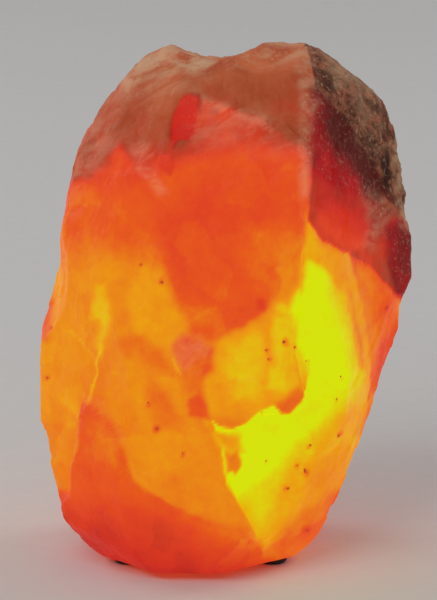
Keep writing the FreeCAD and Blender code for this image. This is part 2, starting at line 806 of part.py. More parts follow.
def leaf_rivet():
    """Rivet through the boss that holds the centre contact and meets the live terminal."""
    body = new_body("leaf_rivet")
    shank = new_sketch(body, "XY_Plane", CARRIER_BOTTOM)
    head_level = plus(BOSS_TOP, "strip_thickness", "rivet_gap")
    draw_circle(shank, "rivet_place", "0", "rivet_radius")
    pad(body, shank, minus(head_level, CARRIER_BOTTOM))
    head = new_sketch(body, "XY_Plane", head_level)
    draw_circle(head, "rivet_place", "0", "rivet_head")
    pad(body, head, "rivet_cap")
    return body


def centre_contact():
    """Springy leaf from the rivet's boss up to the bulb's tip."""
    body = new_body("centre_contact")
    start = minus("rivet_place", "rivet_head")
    sketch = new_sketch(body, "XZ_Plane")
    draw_outline(sketch, [
        (start, BOSS_TOP),
        ("leaf_knee", BOSS_TOP),
        ("-leaf_tip", plus(BOSS_TOP, "leaf_rise")),
        ("leaf_tip", plus(BOSS_TOP, "leaf_rise")),
        ("leaf_tip", LEAF_TOP),
        (minus("-leaf_tip", "strip_thickness / 2"), LEAF_TOP),
        (minus("leaf_knee", "strip_thickness / 2"), plus(BOSS_TOP, "strip_thickness")),
        (start, plus(BOSS_TOP, "strip_thickness")),
    ])
    pad(body, sketch, "strip_width", symmetric=True)
    DOC.recompute()
    hole = new_sketch(body, "XY_Plane", BOSS_TOP)
    draw_circle(hole, "rivet_place", "0", plus("rivet_radius", "rivet_gap"))
    pocket(body, hole, "strip_thickness", reverse=True)
    return body


# ---------------------------------------------------------------- spring clip


def clip_plate():
    """Ring plate with a tab at each side, clamped between the shell's flange and the ring nut."""
    body = new_body("clip_plate")
    disc = new_sketch(body, "XY_Plane", FLANGE_TOP)
    draw_circle(disc, "0", "0", "clip_radius")
    pad(body, disc, "clip_thickness")
    tabs = new_sketch(body, "XY_Plane", FLANGE_TOP)
    draw_outline(tabs, box_corners("-tab_reach", "tab_reach", "-wing_width / 2", "wing_width / 2"))
    pad(body, tabs, "clip_thickness")
    DOC.recompute()
    hole = new_sketch(body, "XY_Plane", FLANGE_TOP)
    draw_circle(hole, "0", "0", plus("holder_radius", "ring_gap"))
    pocket(body, hole, "clip_thickness", reverse=True)
    return body


def clip_wing(label, side):
    """Spring wing: out from its bend to a knee that grips the bore, then in to the finger end."""
    body = new_body(label)
    half = "wing_thickness / 2"
    axis = plus("tab_reach", "knuckle_gap", "knuckle_radius")
    level = plus(FLANGE_TOP, "clip_thickness / 2")
    # The knee's two corners, not its middle, meet the round bore first.
    knee = "sqrt((bore_radius - wall_gap)^2 - (wing_width / 2)^2)"
    inner_knee = minus(knee, "wing_thickness")
    end = minus(knee, "finger_inset")
    strip = [
        (plus(axis, half), level),
        (knee, minus(level, "knee_drop")),
        (end, minus(level, "wing_drop")),
        (minus(end, "wing_thickness"), minus(level, "wing_drop")),
        (inner_knee, minus(level, "knee_drop")),
        (minus(axis, half), level),
    ]
    sketch = new_sketch(body, "XZ_Plane")
    draw_outline(sketch, [(f"{side} * {x}", z) for x, z in strip])
    pad(body, sketch, "wing_width", symmetric=True)
    bend = new_sketch(body, "XZ_Plane")
    draw_circle(bend, f"{side} * {axis}", level, "knuckle_radius")
    pad(body, bend, "wing_width", symmetric=True)
    return body


# ---------------------------------------------------------------- bulb


def bulb_tip_contact():
    """Solder dot under the bulb's cap, domed below."""
    return turned_piece("bulb_tip_contact", [
        ("0", TIP_BOTTOM),
        ("tip_radius", TIP_TOP, "(tip_radius^2 + tip_height^2) / (2 * tip_height)", 1),
        ("0", TIP_TOP),
    ])


def bulb_insulator():
    """Black glass cone between the tip contact and the metal cap."""
    return turned_piece("bulb_insulator", [
        ("0", TIP_TOP),
        ("insulator_radius", TIP_TOP),
        (minus("bulb_cap_radius", "bulb_cap_step"), BULB_CAP_BOTTOM),
        ("0", BULB_CAP_BOTTOM),
    ])


def bulb_cap():
    """Thin metal screw cap, stepped in at its foot and flared at its rim."""
    inside = minus("bulb_cap_radius", "bulb_cap_wall")
    return turned_piece("bulb_cap", [
        (minus("bulb_cap_radius", "2 * bulb_cap_step"), BULB_CAP_BOTTOM),
        (minus("bulb_cap_radius", "bulb_cap_step"), BULB_CAP_BOTTOM),
        ("bulb_cap_radius", plus(BULB_CAP_BOTTOM, "bulb_cap_step")),
        ("bulb_cap_radius", BULB_CAP_TOP),
        ("rim_radius", plus(BULB_CAP_TOP, "rim_height")),
        (minus("rim_radius", "bulb_cap_wall"), plus(BULB_CAP_TOP, "rim_height")),
        (inside, BULB_CAP_TOP),
        (inside, plus(BULB_CAP_BOTTOM, "bulb_cap_step")),
        (minus("bulb_cap_radius", "2 * bulb_cap_step"), plus(BULB_CAP_BOTTOM, "bulb_cap_wall")),
    ])


def bulb_cement():
    """Cement between the glass neck and the cap."""
    return turned_piece("bulb_cement", [
        ("neck_radius", minus(BULB_CAP_TOP, "cement_height")),
        (minus("bulb_cap_radius", "bulb_cap_wall"), minus(BULB_CAP_TOP, "cement_height")),
        (minus("bulb_cap_radius", "bulb_cap_wall"), BULB_CAP_TOP),
        ("neck_radius", BULB_CAP_TOP),
    ])


def s_curve_radius(rise, run):
    """Radius of two equal arcs that join two upright lines, run apart, over a rise."""
    return f"(({rise})^2 + ({run})^2) / (4 * ({run}))"


def bulb_glass():
    """Pygmy envelope: neck, S-curved shoulder, short barrel and round dome."""
    wall, inner_neck = "glass_wall", minus("neck_radius", "glass_wall")
    inner_barrel = minus("bulb_radius", "glass_wall")
    bend = s_curve_radius("shoulder_height", "bulb_radius - neck_radius")
    half_way = plus(SHOULDER_BOTTOM, "shoulder_height / 2")
    return turned_piece("bulb_glass", [
        (inner_neck, NECK_BOTTOM),
        ("neck_radius", NECK_BOTTOM),
        ("neck_radius", SHOULDER_BOTTOM),
        ("(neck_radius + bulb_radius) / 2", half_way, bend, -1),
        ("bulb_radius", BARREL_BOTTOM, bend, 1),
        ("bulb_radius", BARREL_TOP),
        ("0", plus(BARREL_TOP, "bulb_radius"), "bulb_radius", 1),
        ("0", plus(BARREL_TOP, inner_barrel)),
        (inner_barrel, BARREL_TOP, inner_barrel, -1),
        (inner_barrel, BARREL_BOTTOM),
        (minus("(neck_radius + bulb_radius) / 2", wall), half_way, bend, -1),
        (inner_neck, SHOULDER_BOTTOM, bend, 1),
    ])


def bulb_stem():
    """Flared glass foot, rod and button that carry the filament."""
    top = plus(NECK_BOTTOM, "stem_height")
    flare = minus("neck_radius", "glass_wall", "stem_gap")
    button = plus(top, "button_radius")
    return turned_piece("bulb_stem", [
        ("0", NECK_BOTTOM),
        (flare, NECK_BOTTOM),
        (flare, plus(NECK_BOTTOM, "flare_height")),
        ("stem_radius", plus(NECK_BOTTOM, "2 * flare_height")),
        ("stem_radius", top),
        ("button_radius", top),
        ("0", button, "button_radius", 1),
    ])


def round_wire(points, radius):
    """A wire of round section along straight runs joined by tangent arcs."""
    edges = []
    start = points[0]
    for before, corner, after in zip(points, points[1:], points[2:]):
        inward, outward = (corner - before).normalize(), (after - corner).normalize()
        turn = inward.getAngle(outward)
        shorter = min((corner - before).Length, (after - corner).Length)
        reach = number("lead_bend") * shorter
        first, last = corner - inward * reach, corner + outward * reach
        bend = reach / math.tan(turn / 2)
        middle = corner + (outward - inward).normalize() * (bend / math.cos(turn / 2) - bend)
        edges.append(Part.LineSegment(start, first).toShape())
        edges.append(Part.Arc(first, middle, last).toShape())
        start = last
    edges.append(Part.LineSegment(start, points[-1]).toShape())
    path = Part.Wire(edges)
    profile = Part.Wire(Part.Circle(points[0], points[1] - points[0], radius).toShape())
    return path.makePipeShell([profile], True, False)


def made_shape(label, shape):
    """A feature on the bore's axis from a shape made with Part's own functions."""
    feature = DOC.addObject("Part::Feature", label)
    feature.Shape = shape
    feature.Placement = FreeCAD.Placement(Vector(number("bore_offset"), 0, 0), FreeCAD.Rotation())
    return feature


def bulb_lead_wires():
    """Two lead wires from the stem's flare out to the ends of the filament."""
    foot = number(plus(NECK_BOTTOM, "flare_height"))
    top = foot + number("lead_height")
    bend = foot + number("stem_height")
    spread, end = number("lead_spread"), number("filament_radius")
    start = foot + number("flare_height")
    wires = []
    for side in (1, -1):
        points = [
            Vector(side * spread, 0, start),
            Vector(side * spread, 0, bend),
            Vector(side * end, 0, top),
        ]
        wires.append(round_wire(points, number("lead_radius")))
    return made_shape("bulb_lead_wires", Part.Compound(wires))


def bulb_filament():
    """Wound filament between the leads, as the arc of its outer shape, with two support hooks."""
    wire, sweep = number("filament_wire"), number("filament_radius")
    level = number(plus(NECK_BOTTOM, "flare_height", "lead_height")) + number("lead_radius") + wire
    ring = Part.makeTorus(sweep, wire, Vector(0, 0, level), UP, -180, 180, 180)
    button = number(plus(NECK_BOTTOM, "stem_height")) + number("button_radius") / 2
    hooks = []
    for side in (1, -1):
        out = direction(90 + side * number("hook_spread"), 0)
        start = Vector(0, 0, button) + out * number("button_radius")
        end = Vector(0, 0, level - wire) + out * sweep
        hooks.append(Part.makeCylinder(number("hook_radius"), (end - start).Length, start, end - start))
    return (
        made_shape("bulb_filament", ring),
        made_shape("filament_hooks", Part.Compound(hooks)),
    )


# ---------------------------------------------------------------- assembly


def grouped(label, members):
    """Like pieces that share one node."""
    group = DOC.addObject("Part::Compound", label)
    group.Label = label
    group.Links = members
    return group


def build():
    """Makes every sub-part and returns them in the order a bench would lay them out."""
    filament, hooks = bulb_filament()
    return [
        salt_block(),
        rubber_feet(),
        holder_cap(),
        cord_bush(),
        bush_nut(),
        holder_shell(),
        holder_ring(),
        contact_carrier(),
        screw_contact(),
        side_contact(),
        grouped("terminal_blocks", [terminal_block(-1), terminal_block(1)]),
        grouped("terminal_screws", [terminal_screw(-1), terminal_screw(1)]),
        leaf_rivet(),
        centre_contact(),
        clip_plate(),
        clip_wing("clip_wing_left", -1),
        clip_wing("clip_wing_right", 1),
        bulb_tip_contact(),
        bulb_insulator(),
        bulb_cap(),
        bulb_cement(),
        bulb_glass(),
        bulb_stem(),
        bulb_lead_wires(),
        filament,
        hooks,
    ]


def check(pieces):
    """Stops the build if any object failed or any sub-part is null or not valid."""
    DOC.recompute()
    for item in DOC.Objects:
        if {"Invalid", "Error"} & set(item.State):
            raise RuntimeError(f"{item.Label} failed: {item.State}")
    for piece in pieces:
        if piece.Shape.isNull() or not piece.Shape.isValid() or not piece.Shape.Solids:
            raise RuntimeError(f"{piece.Label} has no valid solid")


def main():
    pieces = build()
    check(pieces)
    os.makedirs("parts", exist_ok=True)
    for piece in pieces:
        piece.Shape.exportStep(f"parts/{piece.Label}.step")
        print(f"{piece.Label:18s} {len(piece.Shape.Solids)} solid(s) {piece.Shape.Volume / 1000:10.3f} cm3")


main()
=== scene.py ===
"""Looks of the salt crystal lamp: the glowing rock, its lamp holder and bulb, and a plain studio stage.

Lengths inside the shape functions are millimetres in the row frame, and become metres when a mesh is made.
"""

import math
from functools import partial

import bpy
import numpy as np
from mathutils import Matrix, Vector


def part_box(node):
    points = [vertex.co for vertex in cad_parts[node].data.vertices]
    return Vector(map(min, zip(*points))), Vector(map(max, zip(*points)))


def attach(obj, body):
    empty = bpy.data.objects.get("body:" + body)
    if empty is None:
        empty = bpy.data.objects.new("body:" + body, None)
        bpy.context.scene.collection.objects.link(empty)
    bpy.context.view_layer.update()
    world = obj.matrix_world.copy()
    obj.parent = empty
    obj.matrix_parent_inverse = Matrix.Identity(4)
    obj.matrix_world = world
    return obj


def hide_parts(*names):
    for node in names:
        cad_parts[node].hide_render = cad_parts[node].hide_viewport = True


bl_info = {
    "name": "Salt crystal lamp",
    "version": (1, 0, 0),
    "blender": (4, 5, 0),
    "location": "3D View > Sidebar > Salt lamp",
    "description": "Builds the glowing rock, the bulb and the holder's finishes on the packed frame",
    "category": "Object",
}

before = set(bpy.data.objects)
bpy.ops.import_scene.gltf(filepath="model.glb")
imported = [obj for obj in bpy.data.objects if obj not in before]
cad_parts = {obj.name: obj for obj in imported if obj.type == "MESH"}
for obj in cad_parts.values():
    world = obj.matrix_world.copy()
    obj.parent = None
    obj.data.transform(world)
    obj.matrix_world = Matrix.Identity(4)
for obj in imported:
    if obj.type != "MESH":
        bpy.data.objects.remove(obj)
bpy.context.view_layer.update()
MM = 0.001


def box_of(node):
    """Lowest and highest corner of a CAD node in millimetres."""
    return [np.array(corner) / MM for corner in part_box(node)]


ROCK_LOW, ROCK_HIGH = box_of("salt_block")
BULB_LOW, BULB_HIGH = box_of("bulb_glass")
CAP_LOW, CAP_HIGH = box_of("bulb_cap")
SLEEVE_LOW, SLEEVE_HIGH = box_of("screw_contact")
RING_LOW, RING_HIGH = box_of("bulb_filament")

UNDERSIDE = float(ROCK_LOW[2])
BORE_X = float(BULB_LOW[0] + BULB_HIGH[0]) / 2
BORE_RADIUS = 24.0
BORE_END_RADIUS = 12.0
BORE_SHOULDER = UNDERSIDE + 125.0
BORE_TOP = UNDERSIDE + 137.0
MOUTH_FLARE = 3.0
CHANNEL_HALF_WIDTH = 4.5
CHANNEL_HEIGHT = 9.0

# The rock's drawing: height above the underside, then reach to the left, right, front and back.
SECTIONS = [
    (0, 51, 29, 50, 47),
    (8, 60, 38.5, 57, 52),
    (18, 65.8, 44, 61, 57),
    (53, 75.6, 57.5, 65.5, 63),
    (87, 74.8, 71.5, 65.5, 65.5),
    (113, 70.8, 76.8, 64, 65.5),
    (137, 66.0, 73.3, 60, 62),
    (163, 59.6, 70.2, 53, 54),
    (184, 48.6, 62.8, 43, 41),
    (201, 35.5, 45.0, 29, 15),
    (208, 26, 36, 10, 2),
]
FACES_PER_BAND = 8
# How far a face's bearing wanders, in degrees, and its phase from face to face and from band to band.
FACE_WANDER = 13.0
FACE_PHASE, BAND_PHASE = 2.4, 1.7

# A point on each single cleavage face, then its normal's bearing and rise in degrees.
CLEAVAGES = [
    ((34, -50, 150), -38, 9),
    ((-32, -52, 150), 238, 14),
    ((0, -55, 150), 268, 11),
    ((-14, -63, 60), 262, -4),
    ((-52, 34, 70), 146, -3),
    ((30, 55, 110), 66, 8),
    ((48, 38, 70), 40, -14),
    ((-26, 46, 160), 122, 22),
    ((13.5, -36.5, 0), -50, -38),
]

# Chips that break up the large faces, laid on a spiral from the foot to the crown: how many, degrees from
# one to the next, lowest and highest, depth, degrees that each leans away from its face, and their phase.
CHIP_COUNT = 60
CHIP_TURN = 137.5
CHIP_LOWEST, CHIP_HIGHEST = 14.0, 196.0
CHIP_DEPTH = 0.5
CHIP_TILT = 3.0
CHIP_PHASE = 2.4

# Centre and radius of the ball that each hollow fracture belongs to.
BITES = [
    ((36, 136, 80), 82),
    ((-84, 96, 128), 76),
    ((94, 84, 150), 66),
    ((-20, 104, 20), 58),
    ((-66, -66, 196), 42),
    ((2, 96, 196), 58),
]

# A point on the axis of each long hollow, the axis's bearing and rise, and the radius.
TROUGHS = [
    ((-3.5, 0, 231), 84, -10, 29),
    ((-122.5, 0, 121), 96, 6, 56),
    ((-109.5, 0, 34), 86, -8, 40),
    ((101, 0, 92), 92, 8, 30),
]

# The front is drawn on a sheet that looks down at it a little. Sheet units are 2.463 to the millimetre,
# counted to the right and down from the sheet's top left corner.
SHEET_WIDTH, SHEET_HEIGHT = 437, 600
SHEET_SCALE = 2.463
SHEET_MIDDLE = 225.0
SHEET_FLOOR = 549.0
SHEET_RISE = math.radians(14)

# Edges and patches on the sheet that several outlines share.
HOLLOW_EDGE = [(209, 419), (221, 460), (227, 482), (236, 495), (246, 513), (258, 534)]
SLAB_EDGE = [(98, 408), (112, 427), (124, 448), (128, 466), (133, 478), (146, 491), (161, 496), (175, 508),
             (190, 514), (205, 521)]
LEDGE = [(320, 243), (342, 252), (368, 268), (392, 292)]
CREVICE = [(184, 102), (192, 98), (200, 99), (198, 118), (195, 138), (190, 144), (180, 141), (174, 150),
           (171, 140), (172, 130), (177, 116)]
RED_SPOT = [(160, 168), (161, 158), (172, 156), (175, 168), (173, 178), (164, 174)]

# Fracture steps: outline on the sheet, how far its edge strays from the drawn line and half the width of the
# wall down to its floor in sheet units, then each face it leaves.
STEPS = {
    "crown": (
        [(178, 103), (198, 100), (203, 101), (222, 110), (250, 118), (262, 123), (274, 133), (285, 130),
         (296, 140), (307, 150), (314, 105), (316, 80), (312, 60), (303, 44), (303, -8), (171, -8),
         (171, 91)],
        1.0, 2.8, [((8, -39, 185), 268, 20)],
    ),
    "crevice": (
        [(178, 103), (192, 98), (199, 101), (197, 118), (193, 136), (190, 142), (176, 143), (171, 139),
         (171, 128)],
        0.4, 2.6, [((-16, -37.5, 183), 262, 24)],
    ),
    "hollow": (
        [(305, 225), *LEDGE, (432, 303), (432, 593), (269, 593), (264, 553), *reversed(HOLLOW_EDGE),
         (214, 427), (232, 429), (246, 421), (256, 412), (280, 411), (287, 413), (304, 400), (297, 375),
         (291, 345), (291, 317), (297, 289), (301, 248)],
        0.5, 2.8, [((10, -54, 60), -69, -3), ((54, -31, 80), -24, -10)],
    ),
    "window": (
        [(18, 175), (150, 185), (160, 230), (172, 270), (178, 295), (190, 320), (183, 342), (200, 365),
         (205, 405), *HOLLOW_EDGE, (255, 540), (239, 527), *reversed(SLAB_EDGE), (84, 402), (80, 430),
         (75, 455), (72, 490), (58, 505), (18, 510)],
        0.3, 9.0, [((-26, -57.5, 70), 254, 1), ((-52, -39, 80), 222, -2)],
    ),
}

# How much light comes through, from 0 for none to 1 for the brightest, painted in this order over the sheet:
# level, softness of the edge in sheet units, outline.
LIGHT_PATCHES = [
    # the hollow
    (0.79, 30, [(250, 190), (330, 222), (352, 285), (366, 330), (370, 390), (366, 430), (350, 475),
                (336, 503), (308, 528), (280, 550), (262, 556), (240, 540), (200, 500), (200, 400),
                (250, 300)]),
    (1.00, 26, [(270, 240), (312, 254), (328, 276), (340, 306), (351, 340), (353, 372), (348, 400),
                (332, 416), (310, 436), (292, 452), (276, 468), (262, 484), (250, 496), (236, 500),
                (212, 470), (222, 440), (250, 410), (280, 380), (280, 300)]),
    (0.88, 20, [(246, 492), (262, 480), (280, 474), (276, 500), (262, 524), (252, 512)]),
    (0.84, 12, [(300, 440), (312, 432), (316, 446), (306, 458)]),
    (0.72, 22, [(312, 472), (345, 446), (356, 470), (334, 506), (308, 520), (290, 530), (276, 528),
                (292, 510)]),
    (0.59, 16, [(272, 545), (284, 526), (304, 508), (330, 490), (350, 490), (334, 545), (270, 580)]),
    # the left flank
    (0.28, 16, [(50, 120), (108, 126), (114, 146), (102, 168), (88, 180), (50, 186)]),
    (0.48, 12, [(121, 150), (136, 172), (140, 192), (94, 192), (106, 170)]),
    (0.57, 34, [(30, 196), (140, 190), (155, 240), (170, 275), (100, 290), (30, 290)]),
    (0.70, 60, [(0, 256), (120, 256), (176, 262), (196, 330), (180, 370), (110, 430), (0, 430)]),
    (0.56, 14, [(20, 290), (52, 290), (49, 350), (20, 352)]),
    (0.71, 12, [(30, 340), (78, 345), (98, 362), (92, 398), (80, 405), (78, 432), (60, 424), (24, 418)]),
    (0.67, 8, [(28, 416), (60, 424), (78, 430), (75, 470), (70, 492), (40, 480)]),
    (0.68, 5, [(105, 352), (116, 338), (132, 335), (160, 350), (176, 366), (188, 382), (202, 420),
               (222, 450), (228, 482), (246, 513), (256, 536), (239, 527), (205, 521), (190, 514),
               (161, 496), (133, 478), (124, 448), (112, 427), (98, 408), (88, 400), (98, 372)]),
    (0.60, 12, [(150, 376), (146, 390), (148, 405), (152, 418), (162, 428), (186, 434), (180, 415),
                (168, 395), (158, 382)]),
    (0.75, 16, [(142, 268), (164, 272), (173, 295), (186, 324), (182, 340), (168, 358), (150, 346),
                (136, 322), (138, 290)]),
    (0.65, 12, [(114, 280), (132, 276), (130, 320), (114, 334)]),
    (0.80, 8, [(99, 286), (106, 284), (111, 305), (110, 322), (105, 340), (102, 356), (96, 346), (99, 325),
               (96, 306)]),
    (0.63, 16, [(108, 340), (140, 336), (164, 352), (172, 372), (150, 366), (120, 352)]),
    # the slab and the foot
    (0.54, 4, [(82, 403), (88, 401), *SLAB_EDGE, (240, 527), (262, 552), (262, 600), (40, 600), (56, 500),
               (70, 492), (75, 455), (80, 430)]),
    (0.59, 24, [(80, 400), (104, 410), (122, 444), (116, 462), (82, 454)]),
    (0.43, 34, [(30, 500), (140, 506), (196, 532), (204, 600), (30, 600)]),
    (0.51, 5, [(206, 522), (240, 527), (262, 552), (262, 600), (208, 600)]),
    (0.59, 12, [(176, 506), (205, 517), (240, 522), (262, 546), (252, 552), (205, 530), (182, 520)]),
    (0.34, 26, [(20, 532), (100, 558), (170, 572), (262, 570), (330, 560), (330, 640), (20, 640)]),
    # the crown's step and the upper middle
    (0.37, 8, [(203, 102), (222, 110), (250, 118), (262, 123), (274, 133), (292, 146), (302, 150),
               (306, 172), (300, 180), (240, 176), (190, 180), (172, 172), (190, 142), (198, 120)]),
    (0.51, 22, [(148, 186), (192, 160), (240, 152), (290, 150), (310, 156), (308, 190), (305, 226),
                (301, 250), (297, 286), (280, 292), (236, 300), (196, 312), (184, 308), (176, 292),
                (166, 254), (152, 222)]),
    (0.55, 24, [(184, 284), (276, 276), (268, 312), (236, 322), (212, 340), (192, 336)]),
    (0.48, 24, [(200, 205), (232, 196), (238, 226), (212, 244), (196, 232)]),
    (0.59, 26, [(246, 226), (290, 232), (290, 290), (262, 292), (240, 270)]),
    (0.66, 16, [(274, 254), (298, 240), (294, 290), (288, 308), (276, 296)]),
    (0.50, 30, [(178, 252), (204, 252), (208, 294), (188, 298)]),
    # the middle and the lobe
    (0.62, 18, [(186, 308), (216, 302), (236, 316), (222, 336), (200, 332)]),
    (0.54, 16, [(216, 300), (258, 300), (262, 314), (240, 330), (222, 322)]),
    (0.47, 6, [(255, 298), (264, 300), (264, 310), (256, 310)]),
    (0.74, 16, [(200, 372), (206, 352), (226, 336), (250, 322), (272, 310), (291, 314), (294, 345),
                (306, 372), (312, 400), (292, 418), (272, 414), (250, 426), (232, 436), (210, 428),
                (206, 405)]),
    (0.82, 22, [(228, 342), (256, 328), (264, 360), (252, 398), (228, 402)]),
    (0.85, 10, [(273, 316), (291, 318), (293, 348), (297, 366), (276, 368), (270, 345)]),
    (0.84, 10, [(270, 366), (298, 368), (300, 382), (284, 392), (266, 386)]),
    (0.61, 9, [(274, 402), (286, 396), (297, 386), (306, 388), (304, 402), (292, 418), (276, 412)]),
    (0.66, 12, [(208, 416), (224, 416), (240, 418), (248, 424), (232, 436), (210, 430)]),
    (0.54, 12, [(196, 346), (214, 346), (213, 366), (200, 378), (192, 370)]),
    (0.59, 9, [(173, 345), (182, 335), (198, 338), (207, 346), (208, 360), (198, 368), (186, 368),
               (176, 358)]),
    (0.60, 12, [(184, 350), (202, 372), (204, 396), (188, 392), (180, 372)]),
    (0.54, 7, [(188, 398), (197, 392), (206, 402), (209, 419), (203, 418), (189, 415)]),
    # the edges of the hollow
    (1.00, 3.5, [(210, 419), (218, 426), (232, 429), (246, 420), (256, 411), (272, 405), (280, 412),
                 (288, 412), (303, 399), (305, 376), (312, 376), (322, 400), (310, 425), (280, 440),
                 (246, 444), (228, 436), (216, 432)]),
    (0.74, 12, [(214, 432), (238, 434), (244, 448), (226, 452)]),
    (0.60, 7, [(223, 449), (229, 451), (235, 447), (240, 457), (241, 464), (235, 471), (231, 467),
               (227, 468), (226, 459)]),
    (0.77, 6, [(306, 224), (320, 243), (341, 252), (347, 282), (339, 294), (331, 278), (318, 266),
               (303, 257), (300, 250)]),
    (0.72, 8, [(320, 243), (341, 252), (350, 285), (336, 282), (326, 262)]),
    (0.56, 4, [*LEDGE[1:], (400, 292), (402, 330), (390, 372), (372, 398), (366, 410), (367, 360),
               (362, 318), (352, 284)]),
    (0.45, 10, [(376, 345), (400, 325), (400, 360), (376, 398)]),
    (0.63, 12, [(350, 292), (374, 302), (378, 340), (370, 372), (362, 366)]),
    (0.62, 12, [(346, 262), (368, 276), (380, 300), (366, 316), (354, 286)]),
    (0.62, 10, [(364, 404), (376, 392), (376, 424), (364, 456), (352, 470), (356, 436)]),
    # the right flank
    (0.30, 3.5, [(303, 40), (312, 60), (316, 80), (316, 105), (312, 150), (308, 180), (306, 222), *LEDGE,
                 (412, 304), (420, 200), (400, 60), (340, 30)]),
    (0.44, 24, [(312, 208), (336, 205), (368, 232), (366, 262), (342, 250), (320, 240)]),
    (0.33, 12, [(306, 116), (326, 150), (336, 190), (308, 204)]),
    (0.26, 14, [(311, 96), (324, 92), (346, 124), (356, 150), (340, 150), (314, 128)]),
    (0.08, 24, [(300, 30), (330, 30), (410, 80), (420, 190), (404, 214), (372, 194), (338, 152), (316, 96)]),
    (0.27, 10, [(384, 232), (404, 220), (418, 262), (408, 300), (392, 292), (382, 262)]),
    (-0.06, 8, [(316, 66), (326, 74), (332, 96), (326, 104), (315, 92)]),
    (-0.10, 7, [(376, 158), (388, 156), (393, 176), (390, 192), (382, 188)]),
    (-0.04, 10, [(354, 130), (366, 132), (378, 156), (370, 160)]),
    # the crevice and the spot below it
    (0.42, 3, CREVICE),
    (0.44, 2.5, RED_SPOT),
]

# Bright lines where a crack lets more light out: level, width in sheet units, path.
LIGHT_CRACKS = [
    (0.84, 1.8, [(101, 350), (97, 362), (99, 372), (94, 386), (92, 400)]),
    (0.77, 1.6, [(70, 330), (84, 345), (97, 361)]),
    (0.78, 1.8, [(173, 358), (177, 366), (180, 372)]),
    (0.88, 1.8, [(221, 448), (225, 466), (227, 480)]),
    (0.74, 5.0, [(346, 256), (353, 284), (361, 318), (366, 346), (366, 380), (360, 426), (354, 452)]),
]

# Dull whitish bloom on the skin, with painted highlights of the lit top, rims and edges: strength, softness,
# outline.
BLOOM_AND_HIGHLIGHT_PATCHES = [
    (0.95, 14, [(120, 74), (146, 48), (196, 40), (214, 66), (208, 78), (186, 72), (150, 78), (128, 92)]),
    (0.35, 16, [(116, 84), (190, 84), (196, 96), (150, 98), (112, 104)]),
    (0.65, 12, [(212, 46), (304, 38), (306, 58), (270, 64), (230, 70)]),
    (0.45, 4, [(203, 99), (222, 107), (250, 115), (264, 120), (277, 131), (268, 136), (254, 128), (236, 121),
               (220, 116), (203, 108)]),
    (0.50, 6, [(292, 56), (313, 66), (314, 104), (308, 150), (305, 200), (300, 200), (296, 150),
               (300, 100)]),
    (0.38, 10, [(360, 190), (376, 196), (392, 212), (380, 226), (372, 250), (364, 246), (366, 214)]),
    (0.55, 10, [(318, 44), (350, 60), (384, 92), (376, 100), (352, 84), (334, 90), (328, 70)]),
    (0.34, 12, [(340, 84), (356, 92), (380, 112), (396, 140), (380, 150), (362, 126)]),
    (0.80, 6, [(388, 112), (412, 112), (416, 230), (400, 226), (395, 170)]),
    (0.16, 9, [(344, 254), (358, 262), (370, 340), (366, 400), (356, 452), (350, 452), (358, 380)]),
    (0.24, 9, [(175, 345), (183, 336), (200, 338), (208, 346), (208, 360), (196, 368), (182, 366)]),
    (0.20, 10, [(60, 180), (84, 184), (80, 214), (60, 214)]),
    (0.34, 14, [(66, 128), (104, 126), (112, 146), (98, 170), (70, 182)]),
    (0.34, 5, [(130, 146), (150, 146), (156, 162), (157, 180), (168, 194), (160, 196), (140, 172)]),
    (0.26, 20, [(206, 108), (262, 122), (296, 148), (290, 154), (240, 146), (190, 150), (196, 126)]),
]

# Brown, clayey skin on the rough flank: strength, softness, outline.
CLAY_PATCHES = [
    (1.00, 5, [(304, 38), (340, 30), (390, 60), (366, 112), (336, 116), (322, 102), (315, 92), (316, 80),
               (311, 60)]),
    (1.00, 11, [(326, 84), (340, 30), (420, 80), (430, 200), (412, 214), (392, 198), (374, 172), (358, 146),
                (342, 122)]),
    (0.45, 12, [(311, 92), (330, 104), (386, 190), (376, 206), (356, 198), (330, 190), (311, 176)]),
    (0.25, 12, [(311, 150), (370, 190), (404, 220), (384, 240), (350, 236), (318, 212)]),
    (0.48, 7, [(382, 224), (404, 218), (420, 262), (408, 302), (396, 292), (388, 262)]),
    (0.30, 4, CREVICE),
    (0.12, 1.5, RED_SPOT),
    (0.30, 36, [(20, 536), (100, 530), (170, 560), (262, 570), (330, 640), (20, 640)]),
]

# Dark mineral specks seen on the sheet: across, down, radius in millimetres.
SHEET_SPECKS = [
    (158, 428, 0.95), (183, 452, 0.6), (283, 341, 0.9), (265, 350, 0.7), (268, 357, 0.6), (294, 346, 0.5),
    (305, 361, 0.5), (340, 377, 0.55), (335, 398, 0.5), (385, 309, 0.6), (265, 459, 0.65), (305, 469, 0.85),
    (287, 486, 0.7), (338, 434, 0.8), (310, 444, 0.7), (306, 530, 0.85), (297, 463, 0.5), (52, 328, 0.6),
    (48, 378, 0.7), (164, 283, 0.7), (142, 265, 0.5), (187, 341, 0.45), (260, 412, 0.5), (150, 402, 0.5),
]
HIDDEN_SPECKS = 70
HIDDEN_RADII = (0.35, 0.9)
# How far specks stay from the bore's axis and from the foot, how far they are pushed in and out and drawn
# out, the share of a radius that one is sunk by, how much light it takes, and how squarely the skin that
# carries the drawn ones faces the viewer.
SPECK_CLEARANCE, LOWEST_SPECK = 32, 12
SPECK_UNEVENNESS, SPECK_PROPORTIONS = (0.75, 1.25), (0.7, 1.2)
SPECK_SUNK = 0.55
SPECK_DIMMING = 0.2
SEEN_FACING = 0.2

